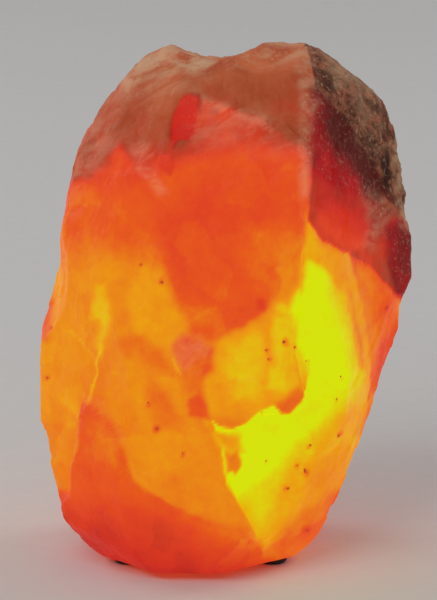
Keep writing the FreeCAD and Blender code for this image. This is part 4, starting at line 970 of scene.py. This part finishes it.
def thread_grid(settings, low, high, crest, share=1.0, plain=0.0):
    """Grid of (radius, height) of a rolled thread: the crest less a rounded groove that climbs one lead a
    turn and fades out within one lead of each end. A plain length at its foot has no groove."""
    lead, depth = settings.thread_lead / MM, settings.thread_depth / MM * share
    turns = np.linspace(0, 1, THREAD_COLUMNS, endpoint=False)
    heights = np.linspace(low, high, THREAD_ROWS)[:, None]
    wave = 0.5 - 0.5 * np.cos(2 * math.pi * (heights / lead - turns))
    start = low + plain
    fade = smooth_step(heights, start, start + lead) * (1 - smooth_step(heights, high - lead, high))
    radius = crest - depth * wave**GROOVE_ROUNDING * fade
    return np.stack([radius, np.broadcast_to(heights, radius.shape)], axis=-1)


def plain_ring(radius, height):
    """One more row of a thread's grid, at one radius and height."""
    return np.tile([float(radius), float(height)], (1, THREAD_COLUMNS, 1))


def turned_tube(outside, inside):
    """Closed tube about the bore's axis from an outer and an inner grid of (radius, height), each row one
    ring, closed across its turns and from its last ring to its first."""
    rings = np.concatenate([outside, inside[::-1]])
    turn = np.linspace(0, 2 * math.pi, rings.shape[1], endpoint=False)
    across = BORE_X + rings[..., 0] * np.cos(turn)
    points = np.stack([across, rings[..., 0] * np.sin(turn), rings[..., 1]], axis=-1)
    lower = np.arange(turn.size * len(rings)).reshape(len(rings), -1)
    upper = np.roll(lower, -1, axis=0)
    faces = np.stack([lower, np.roll(lower, -1, axis=1), np.roll(upper, -1, axis=1), upper], axis=-1)
    return points.reshape(-1, 3), faces.reshape(-1, 4).tolist()


def coil_surface(turns):
    """Wire wound on a half ring: a small circle carried round a helix whose axis is the half ring itself."""
    wide, _, high = RING_HIGH - RING_LOW
    centre = np.array([BORE_X, 0, (RING_LOW[2] + RING_HIGH[2]) / 2])
    winding = high / 2 - WIRE_RADIUS - COIL_CLEARANCE
    along = np.linspace(0, 1, turns * STEPS_IN_TURN + 1)
    bearing = along * math.pi
    out = np.stack([np.cos(bearing), np.sin(bearing), np.zeros(len(along))], axis=1)
    phase = 2 * math.pi * turns * along
    path = centre + out * ((wide - high) / 2 + winding * np.cos(phase))[:, None]
    path[:, 2] += winding * np.sin(phase)
    tangent = np.gradient(path, axis=0)
    tangent /= np.linalg.norm(tangent, axis=1, keepdims=True)
    side = np.cross(tangent, out)
    side /= np.linalg.norm(side, axis=1, keepdims=True)
    around = np.linspace(0, 2 * math.pi, WIRE_SIDES, endpoint=False)[:, None]
    spokes = np.cos(around) * side[:, None] + np.sin(around) * np.cross(tangent, side)[:, None]
    rings = path[:, None] + WIRE_RADIUS * spokes
    return np.concatenate([rings.reshape(-1, 3), path[[0, -1]]]), closed_faces(len(along), WIRE_SIDES)


def speck_surfaces(centres, outward, radii, rng):
    """Small closed stones, each a ball of five rings of seven points pushed in and out at random and half
    sunk under the skin."""
    rings, sides = 5, 7
    rise = np.linspace(-math.pi / 2, math.pi / 2, rings + 2)[1:-1, None]
    turn = np.linspace(0, 2 * math.pi, sides, endpoint=False)
    flat = np.cos(rise)
    ball = np.stack([flat * np.cos(turn), flat * np.sin(turn), np.sin(rise) + 0 * turn], axis=-1)
    ball = np.concatenate([ball.reshape(-1, 3), [[0, 0, -1], [0, 0, 1]]])
    size = radii[:, None] * rng.uniform(*SPECK_UNEVENNESS, (len(radii), len(ball)))
    stones = ball * size[..., None] * rng.uniform(*SPECK_PROPORTIONS, (len(radii), 1, 3))
    points = stones + (centres - outward * radii[:, None] * SPECK_SUNK)[:, None, :]
    one = []
    for face in closed_faces(rings, sides):
        one += [face] if len(face) == 3 else [face[:3], [face[0], face[2], face[3]]]
    faces = (np.array(one) + np.arange(len(radii))[:, None, None] * len(ball)).reshape(-1, 3)
    return np.clip(points.reshape(-1, 3), ROCK_LOW, ROCK_HIGH), faces.tolist()


# ---------------------------------------------------------------- materials


def feed(tree, socket, value):
    """Links a socket to another, or sets it to a number or a colour."""
    if isinstance(value, bpy.types.NodeSocket):
        tree.links.new(value, socket)
    elif socket.type == "RGBA":
        socket.default_value = (*value[:3], 1)
    else:
        socket.default_value = value


def fit(tree, node, **inputs):
    """Feeds a node's inputs by name, with _ for a space."""
    for label, value in inputs.items():
        feed(tree, node.inputs[label.replace("_", " ")], value)


def new_node(tree, kind, traits=(), **inputs):
    """A node with its own traits set and its inputs fed."""
    node = tree.nodes.new(kind)
    for name, value in dict(traits).items():
        setattr(node, name, value)
    fit(tree, node, **inputs)
    return node


def math_node(tree, operation, *values, clamp=False):
    """Result of a Math node."""
    node = new_node(tree, "ShaderNodeMath", {"operation": operation, "use_clamp": clamp})
    for socket, value in zip(node.inputs, values):
        feed(tree, socket, value)
    return node.outputs[0]


def mix_colour(tree, share, first, second, blend="MIX"):
    """A colour between two colours, by a share from 0 to 1."""
    node = new_node(tree, "ShaderNodeMix", {"data_type": "RGBA", "blend_type": blend})
    for index, value in ((0, share), (6, first), (7, second)):
        feed(tree, node.inputs[index], value)
    return node.outputs[2]


def map_range(tree, value, low, high, to_low=0.0, to_high=1.0):
    """Smooth remap of a value, held at both ends."""
    node = new_node(tree, "ShaderNodeMapRange", {"interpolation_type": "SMOOTHSTEP"})
    for socket, number in zip(node.inputs, (value, low, high, to_low, to_high)):
        feed(tree, socket, number)
    return node.outputs[0]


def noise(tree, place, scale, detail, roughness=0.5, distortion=0.0):
    """Noise value at a place, about 0.5 on average. Scale is per metre."""
    return new_node(tree, "ShaderNodeTexNoise", Vector=place, Scale=scale, Detail=detail, Roughness=roughness,
                    Distortion=distortion).outputs[0]


def stretched(tree, place, turn, scale):
    """A place drawn out along axes turned about Y by some degrees, so that its patterns run in streaks."""
    return new_node(tree, "ShaderNodeMapping", {"vector_type": "TEXTURE"}, Vector=place,
                    Rotation=(0, math.radians(turn), 0), Scale=scale).outputs[0]


def object_place(tree):
    """The place on the object that patterns are laid by."""
    return tree.nodes.new("ShaderNodeTexCoord").outputs["Object"]


def bump(tree, height, distance, strength):
    """The normal of a surface with a height on it."""
    node = new_node(tree, "ShaderNodeBump", Height=height, Distance=distance, Strength=strength)
    return node.outputs["Normal"]


def new_group(name, inputs, outputs):
    """An empty shader node group with named sockets, and its two end nodes."""
    group = bpy.data.node_groups.new(name, "ShaderNodeTree")
    for label, kind, value in inputs:
        socket = group.interface.new_socket(label, in_out="INPUT", socket_type=kind)
        socket.default_value = value
    for label, kind in outputs:
        group.interface.new_socket(label, in_out="OUTPUT", socket_type=kind)
    return group, group.nodes.new("NodeGroupInput").outputs, group.nodes.new("NodeGroupOutput")


def glow_colour(tree, settings, level, clay):
    """Colour of the light at a level, from the thickest salt to the thinnest, reddened by clay."""
    ramp = tree.nodes.new("ShaderNodeValToRGB")
    elements = ramp.color_ramp.elements
    while len(elements) < len(GLOW_STOPS):
        elements.new(0.5)
    for element, (setting, position) in zip(elements, GLOW_STOPS.items()):
        element.position = position
        element.color = (*getattr(settings, setting), 1)
    fit(tree, ramp, Fac=level)
    held_clay = math_node(tree, "MULTIPLY", clay, CLAY_REDDENS, clamp=True)
    return mix_colour(tree, held_clay, ramp.outputs[0], settings.glow_clayey, "MULTIPLY")


def salt_group(settings):
    """Colour, light and relief of salt, from its light level, its bloom with painted highlights, and its
    clay.
    """
    group, entry, leave = new_group(
        "Salt",
        [("Light level", "NodeSocketFloat", 0.5), ("Bloom", "NodeSocketFloat", 0.0),
         ("Clay", "NodeSocketFloat", 0.0)],
        [("Base Color", "NodeSocketColor"), ("Emission Color", "NodeSocketColor"),
         ("Roughness", "NodeSocketFloat"), ("Height", "NodeSocketFloat")],
    )
    mix, remap, calculate = (partial(make, group) for make in (mix_colour, map_range, math_node))
    times, plus = partial(calculate, "MULTIPLY"), partial(calculate, "ADD")
    # The bloom input also carries painted highlights.
    bloom, clay = entry["Bloom"], entry["Clay"]
    place = object_place(group)
    cloud, mottle, grain = (noise(group, place, *pattern) for pattern in (CLOUD, MOTTLE, GRAIN))
    streaks, veil, chips = (
        noise(group, stretched(group, place, *lie), *pattern)
        for lie, pattern in ((STREAKS_LIE, STREAKS), (VEIL_LIE, VEIL), (CHIPS_LIE, CHIPS))
    )
    drift = calculate("MULTIPLY_ADD", cloud, CLOUD_SWING, -CLOUD_SWING / 2)
    fleck = calculate("MULTIPLY_ADD", mottle, MOTTLE_SWING, -MOTTLE_SWING / 2)
    level = plus(entry["Light level"], plus(drift, fleck))
    glow = glow_colour(group, settings, level, clay)

    paler = [min(c * PALER + WHITER, 1) for c in settings.salmon]
    deeper = [c * f for c, f in zip(settings.salmon, DEEPER)]
    darkest = [c * DARKEST for c in settings.clay]
    body = mix(remap(cloud, *CLOUD_TURN), deeper, paler)
    body = mix(remap(clay, *STAINED_BY), body, settings.stained)
    clayey = mix(remap(streaks, *STREAKS_TURN), darkest, settings.clay)
    body = mix(remap(clay, *CLAYEY_BY), body, clayey)
    body = mix(remap(level, *DARK_UNTIL), settings.glow_dim, body)
    # As the glow brightens the daylight colour fades into a dim copy of it; in the middle levels this is
    # painted shade.
    body = mix(remap(level, *DAYLIGHT_FADE_AND_SHADE_BY), body, mix(GLOW_SHADE, BLACK, glow))
    # Wisps of bloom and painted highlight pale the colour.
    wisps_and_highlights = times(bloom, remap(veil, *VEIL_TURN))
    rough_skin = plus(clay, bloom, clamp=True)
    # Painted glints: paler flecks of colour that stand in for crystals catching the light.
    painted_glints = times(remap(chips, *CHIPS_TURN), remap(rough_skin, *PAINTED_GLINTS_BY))
    base = mix(times(painted_glints, PAINTED_GLINTS_PALE), mix(wisps_and_highlights, body, settings.bloom), settings.bloom)

    shown = remap(level, *SHOWN_BY)
    for cover, kept in ((wisps_and_highlights, WISPS_AND_HIGHLIGHTS_KEEP), (clay, CLAY_KEEPS), (painted_glints, PAINTED_GLINTS_KEEP)):
        shown = times(shown, calculate("SUBTRACT", 1.0, times(cover, kept)))
    gloss = remap(mottle, *MOTTLE_TURN, *SALT_ROUGHNESS)
    rough = plus(gloss, times(plus(wisps_and_highlights, clay), COVER_ROUGHNESS), clamp=True)
    crystals = new_node(group, "ShaderNodeTexVoronoi", Vector=place, Scale=CRYSTALS).outputs["Distance"]
    ridged = times(plus(streaks, chips), plus(rough_skin, BARE_RIDGES))
    fine = plus(times(grain, GRAIN_HEIGHT), times(crystals, CRYSTAL_HEIGHT))
    height = plus(fine, times(ridged, RIDGE_HEIGHT))
    fit(group, leave, Base_Color=base, Emission_Color=mix(shown, BLACK, glow), Roughness=rough, Height=height)
    return group


def wear_group():
    """Fine grain and handling marks for made surfaces: a colour darkened by marks, roughness and height."""
    group, entry, leave = new_group(
        "Made surface",
        [("Color", "NodeSocketColor", (0.8, 0.8, 0.8, 1)), ("Roughness", "NodeSocketFloat", 0.4),
         ("Grain scale", "NodeSocketFloat", 900.0), ("Marks", "NodeSocketFloat", 0.2)],
        [("Base Color", "NodeSocketColor"), ("Roughness", "NodeSocketFloat"), ("Height", "NodeSocketFloat")],
    )
    times, plus = partial(math_node, group, "MULTIPLY"), partial(math_node, group, "ADD")
    place = object_place(group)
    grain = noise(group, place, entry["Grain scale"], *MADE_GRAIN)
    smear = noise(group, place, *SMEAR)
    marks = times(map_range(group, smear, *SMEAR_TURN), entry["Marks"])
    darker = mix_colour(group, GRIMINESS, entry["Color"], GRIME)
    rough = plus(entry["Roughness"], times(smear, SMEAR_ROUGHNESS))
    fit(group, leave, Base_Color=mix_colour(group, marks, entry["Color"], darker),
        Roughness=math_node(group, "SUBTRACT", rough, SMEAR_ROUGHNESS / 2, clamp=True),
        Height=plus(times(grain, MADE_GRAIN_HEIGHT), times(smear, SMEAR_HEIGHT)))
    return group


def new_material(name, **inputs):
    """A material with one Principled BSDF, whose inputs are fed by name."""
    material = bpy.data.materials.new(name)
    material.use_nodes = True
    tree = material.node_tree
    shader = tree.nodes["Principled BSDF"]
    fit(tree, shader, **inputs)
    return material, tree, shader


def salt_material(settings):
    """Rock salt lit from inside, read from the light level, bloom with painted highlights, and clay stored on
    the rock.
    """
    material, tree, shader = new_material(
        "Rock salt", IOR=SALT_IOR, Emission_Strength=settings.glow, Specular_IOR_Level=SALT_SPECULAR)
    stored = {
        label: new_node(tree, "ShaderNodeAttribute", {"attribute_name": label.lower()}).outputs["Fac"]
        for label in ("Light_level", "Bloom", "Clay")
    }
    salt = new_node(tree, "ShaderNodeGroup", {"node_tree": salt_group(settings)}, **stored).outputs
    fit(tree, shader, Base_Color=salt["Base Color"], Emission_Color=salt["Emission Color"],
        Roughness=salt["Roughness"], Normal=bump(tree, salt["Height"], *SALT_BUMP))
    return material


def made_material(name, colour, **inputs):
    """Moulded plastic, metal, ceramic, rubber or mineral with grain and handling marks, by its finish."""
    roughness, grain, marks, relief, metallic, coat = FINISHES[name]
    material, tree, shader = new_material(name, Metallic=metallic, Coat_Weight=coat, **inputs)
    group = bpy.data.node_groups.get("Made surface") or wear_group()
    surface = new_node(tree, "ShaderNodeGroup", {"node_tree": group}, Color=colour, Roughness=roughness,
                       Grain_scale=grain, Marks=marks).outputs
    fit(tree, shader, Base_Color=surface["Base Color"], Roughness=surface["Roughness"],
        Normal=bump(tree, surface["Height"], relief, MADE_BUMP_STRENGTH))
    return material


def glass_material(name, tint, roughness):
    """Clear glass with faint draw marks."""
    material, tree, shader = new_material(
        name, Base_Color=tint, IOR=GLASS_IOR, Transmission_Weight=1.0, Roughness=roughness)
    marks = noise(tree, object_place(tree), *DRAW_MARKS)
    fit(tree, shader, Normal=bump(tree, marks, *GLASS_BUMP))
    return material


def glowing_material(name, colour, strength):
    """Hot wire, a little brighter in places."""
    material, tree, shader = new_material(name, Roughness=0.5, Emission_Strength=strength)
    brighter = [min(c * FILAMENT_BRIGHTER, 1) for c in colour]
    hot = mix_colour(tree, noise(tree, object_place(tree), *WIRE_GRAIN), colour, brighter)
    fit(tree, shader, Base_Color=hot, Emission_Color=hot)
    return material


def finish_nodes(material, *names):
    """Gives CAD nodes that are shown as they are a better material."""
    for name in names:
        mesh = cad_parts[name].data
        mesh.materials.clear()
        mesh.materials.append(material)


# ---------------------------------------------------------------- operators


class SALTLAMP_OT_rock(bpy.types.Operator):
    """Build the hewn, bored and glowing block of rock salt"""

    bl_idname = "saltlamp.rock"
    bl_label = "Salt rock"

    def execute(self, context):
        settings = context.scene.salt_rock
        points, covers = rock_surface(settings)
        poles = [[BORE_X, 0, BORE_TOP], points[-1].mean(axis=0)]
        every = np.concatenate([points.reshape(-1, 3), poles])
        material = salt_material(settings)
        faces = closed_faces(*points.shape[:2])
        rock = new_object("salt_rock", every, faces, material, "salt", "rock_salt", ROCK_SHARP)
        for name, values in covers.items():
            add_values(rock.data, name, np.concatenate([values, values[[0, -1]]]))
        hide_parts("salt_block")
        return {"FINISHED"}


def vertex_vectors(mesh, name):
    """The place or the normal of every vertex of a mesh."""
    values = np.zeros(len(mesh.vertices) * 3)
    mesh.vertices.foreach_get(name, values)
    return values.reshape(-1, 3)


class SALTLAMP_OT_specks(bpy.types.Operator):
    """Sink dark mineral specks into the rock's skin"""

    bl_idname = "saltlamp.specks"
    bl_label = "Mineral specks"

    def execute(self, context):
        rock = bpy.data.objects["salt_rock"].data
        places, normals = vertex_vectors(rock, "co") / MM, vertex_vectors(rock, "normal")
        seen = normals @ direction(270, math.degrees(SHEET_RISE)) > SEEN_FACING
        sheet = on_sheet(places)
        picked, radii = [], []
        for across, down, radius in SHEET_SPECKS:
            away = np.linalg.norm(sheet - (across, down), axis=1) + np.where(seen, 0, FAR)
            picked.append(int(away.argmin()))
            radii.append(radius)
        rng = np.random.default_rng(5)
        clear_of_bore = np.hypot(places[:, 0] - BORE_X, places[:, 1]) > SPECK_CLEARANCE
        skin = np.flatnonzero(clear_of_bore & (places[:, 2] > LOWEST_SPECK) & ~seen)
        picked += rng.choice(skin, HIDDEN_SPECKS, replace=False).tolist()
        radii += rng.uniform(*HIDDEN_RADII, HIDDEN_SPECKS).tolist()
        points, faces = speck_surfaces(places[picked], normals[picked], np.array(radii), rng)
        # The specks carry a painted orange glow, standing in for the lamp's light in the salt over them.
        painted_speck_glow = display(196, 84, 16)
        material = made_material(
            "Dark mineral", display(110, 44, 16), Emission_Color=painted_speck_glow, Emission_Strength=SPECK_GLOW)
        new_object("mineral_specks", points, faces, material, "salt", "rock_salt")
        return {"FINISHED"}


class SALTLAMP_OT_bulb(bpy.types.Operator):
    """Build the bulb's rolled cap and coiled filament, and finish its glass"""

    bl_idname = "saltlamp.bulb"
    bl_label = "Bulb"

    def execute(self, context):
        settings = context.scene.salt_fitting
        low, rim = float(CAP_LOW[2]), float(CAP_HIGH[2])
        foot, heel = (plain_ring(CAP_CREST - step, low) for step in (2 * CAP_STEP, CAP_STEP))
        lip = plain_ring(CAP_HIGH[0] - BORE_X, rim)
        thread = thread_grid(settings, low + CAP_STEP, rim - CAP_LIP, CAP_CREST)
        outside = np.concatenate([foot, heel, thread, lip])
        up, inwards = (0, CAP_WALL), (CAP_WALL, 0)
        inside = np.concatenate([foot + up, heel + up - (HEEL_INSET, 0), thread - inwards, lip - inwards])
        metal = made_material("Bulb cap metal", display(204, 200, 192))
        surface = turned_tube(outside, inside)
        cap = new_object("bulb_cap_rolled", *surface, metal, "bulb", "cap_metal", THREAD_SHARP)
        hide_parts("bulb_cap")

        hot = glowing_material("Hot filament", display(255, 214, 140), FILAMENT_GLOW)
        surface = coil_surface(settings.filament_turns)
        coil = new_object("filament_coil", *surface, hot, "bulb", "filament_wire")
        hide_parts("bulb_filament")

        finish_nodes(glass_material("Bulb glass", (0.98, 0.98, 0.96), 0.02), "bulb_glass")
        finish_nodes(glass_material("Stem glass", (0.94, 0.97, 0.95), 0.06), "bulb_stem")
        finish_nodes(made_material("Black glass", display(20, 20, 22)), "bulb_insulator")
        finish_nodes(made_material("Solder", display(176, 176, 178)), "bulb_tip_contact")
        finish_nodes(made_material("Basing cement", display(186, 174, 148)), "bulb_cement")
        finish_nodes(made_material("Lead wire", display(164, 158, 150)), "bulb_lead_wires", "filament_hooks")
        return {"FINISHED"}


class SALTLAMP_OT_holder(bpy.types.Operator):
    """Build the holder's threaded sleeve and finish its mouldings, contacts and clip"""

    bl_idname = "saltlamp.holder"
    bl_label = "Holder and clip"

    def execute(self, context):
        settings = context.scene.salt_fitting
        low, high = float(SLEEVE_LOW[2]), float(SLEEVE_HIGH[2])
        bore = thread_grid(settings, low, high, SLEEVE_CREST, SLEEVE_SHARE, settings.thread_lead / MM)
        brass = made_material("Contact brass", settings.brass)
        surface = turned_tube(bore + (SLEEVE_WALL, 0), bore)
        sleeve = new_object("sleeve_rolled", *surface, brass, "fitting", "contact_brass", THREAD_SHARP)
        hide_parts("screw_contact")

        plastic, darker = settings.plastic, [c * BUSH_SHADE for c in settings.plastic]
        finish_nodes(made_material("Holder moulding", plastic), "holder_cap", "holder_shell", "holder_ring")
        finish_nodes(made_material("Bush moulding", darker), "cord_bush", "bush_nut")
        finish_nodes(made_material("Glazed ceramic", display(238, 235, 226)), "contact_carrier")
        finish_nodes(brass, "side_contact", "terminal_blocks", "leaf_rivet")
        finish_nodes(made_material("Spring bronze", display(196, 142, 92)), "centre_contact")
        spring_steel = made_material("Spring steel", settings.steel)
        finish_nodes(spring_steel, "clip_plate", "clip_wing_left", "clip_wing_right")
        finish_nodes(made_material("Plated steel", settings.steel), "terminal_screws")
        return {"FINISHED"}


class SALTLAMP_OT_feet(bpy.types.Operator):
    """Finish the rubber feet"""

    bl_idname = "saltlamp.feet"
    bl_label = "Rubber feet"

    def execute(self, context):
        finish_nodes(made_material("Foot rubber", context.scene.salt_fitting.rubber), "rubber_feet")
        return {"FINISHED"}


class SALTLAMP_OT_stage(bpy.types.Operator):
    """Lay the floor, hang the lights and set the camera"""

    bl_idname = "saltlamp.stage"
    bl_label = "Stage"

    def execute(self, context):
        scene = context.scene
        settings = scene.salt_stage
        scene.view_settings.view_transform = "Standard"
        self.lay_floor(settings)
        across = (SHEET_WIDTH / 2 - SHEET_MIDDLE) / SHEET_SCALE * MM
        up = (SHEET_FLOOR - SHEET_HEIGHT / 2) / SHEET_SCALE / math.cos(SHEET_RISE) * MM
        look_at = Vector((across, 0, up))
        for name, (place, size, setting) in LIGHTS.items():
            self.hang_light(name, look_at, place, size, getattr(settings, setting))
        world = bpy.data.worlds.new("Room")
        world.use_nodes = True
        sky = world.node_tree.nodes["Background"]
        fit(world.node_tree, sky, Color=ROOM_COLOUR, Strength=settings.air)
        scene.world = world

        camera = bpy.data.cameras.new("camera")
        camera.sensor_fit = "VERTICAL"
        camera.sensor_height = SENSOR_HEIGHT
        camera.lens = camera.sensor_height * settings.eye_distance / (SHEET_HEIGHT / SHEET_SCALE * MM)
        camera.clip_end = SIGHT_END
        eye = bpy.data.objects.new("camera", camera)
        scene.collection.objects.link(eye)
        back = Vector((0, -math.cos(settings.eye_rise), math.sin(settings.eye_rise)))
        eye.location = look_at + back * settings.eye_distance
        eye.rotation_euler = (-back).to_track_quat("-Z", "Y").to_euler()
        scene.camera = eye
        return {"FINISHED"}

    def lay_floor(self, settings):
        """A wide pale floor, as a grid in two parameters that stays level."""
        reach = np.linspace(-FLOOR_REACH, FLOOR_REACH, FLOOR_LINES)
        across, along = np.meshgrid(reach, reach)
        points = np.stack([across.ravel(), along.ravel(), np.zeros(across.size)], axis=1)
        grid = np.arange(across.size).reshape(across.shape)
        faces = np.stack([grid[:-1, :-1], grid[:-1, 1:], grid[1:, 1:], grid[1:, :-1]], axis=-1).reshape(-1, 4)
        mesh = bpy.data.meshes.new("floor")
        mesh.from_pydata(points.tolist(), [], faces.tolist())
        mesh.materials.append(made_material("Pale floor", settings.floor))
        floor = bpy.data.objects.new("floor", mesh)
        bpy.context.scene.collection.objects.link(floor)

    def hang_light(self, name, look_at, place, size, energy):
        """A square soft light that faces the lamp."""
        light = bpy.data.lights.new(name, "AREA")
        light.size = size
        light.energy = energy
        lamp = bpy.data.objects.new(name, light)
        bpy.context.scene.collection.objects.link(lamp)
        lamp.location = place
        lamp.rotation_euler = (look_at - lamp.location).to_track_quat("-Z", "Y").to_euler()


class SALTLAMP_PT_panel(bpy.types.Panel):
    """Lists the lamp's pieces and their settings"""

    bl_idname = "SALTLAMP_PT_panel"
    bl_label = "Salt lamp"
    bl_space_type = "VIEW_3D"
    bl_region_type = "UI"
    bl_category = "Salt lamp"

    def draw(self, context):
        for operator in PIECES:
            self.layout.operator(operator.bl_idname)
        for group in (context.scene.salt_rock, context.scene.salt_fitting, context.scene.salt_stage):
            column = self.layout.column()
            for name in type(group).__annotations__:
                column.prop(group, name)


PIECES = [
    SALTLAMP_OT_rock, SALTLAMP_OT_specks, SALTLAMP_OT_bulb, SALTLAMP_OT_holder, SALTLAMP_OT_feet,
    SALTLAMP_OT_stage,
]
GROUPS = {"salt_rock": RockSettings, "salt_fitting": FittingSettings, "salt_stage": StageSettings}


def register():
    for cls in (*GROUPS.values(), *PIECES, SALTLAMP_PT_panel):
        bpy.utils.register_class(cls)
    for name, cls in GROUPS.items():
        setattr(bpy.types.Scene, name, bpy.props.PointerProperty(type=cls))


def unregister():
    for name in GROUPS:
        delattr(bpy.types.Scene, name)
    for cls in (SALTLAMP_PT_panel, *reversed(PIECES), *reversed(GROUPS.values())):
        bpy.utils.unregister_class(cls)


def main():
    register()
    bpy.ops.saltlamp.rock()
    bpy.ops.saltlamp.specks()
    bpy.ops.saltlamp.bulb()
    bpy.ops.saltlamp.holder()
    bpy.ops.saltlamp.feet()
    bpy.ops.saltlamp.stage()


if __name__ == "__main__":
    main()
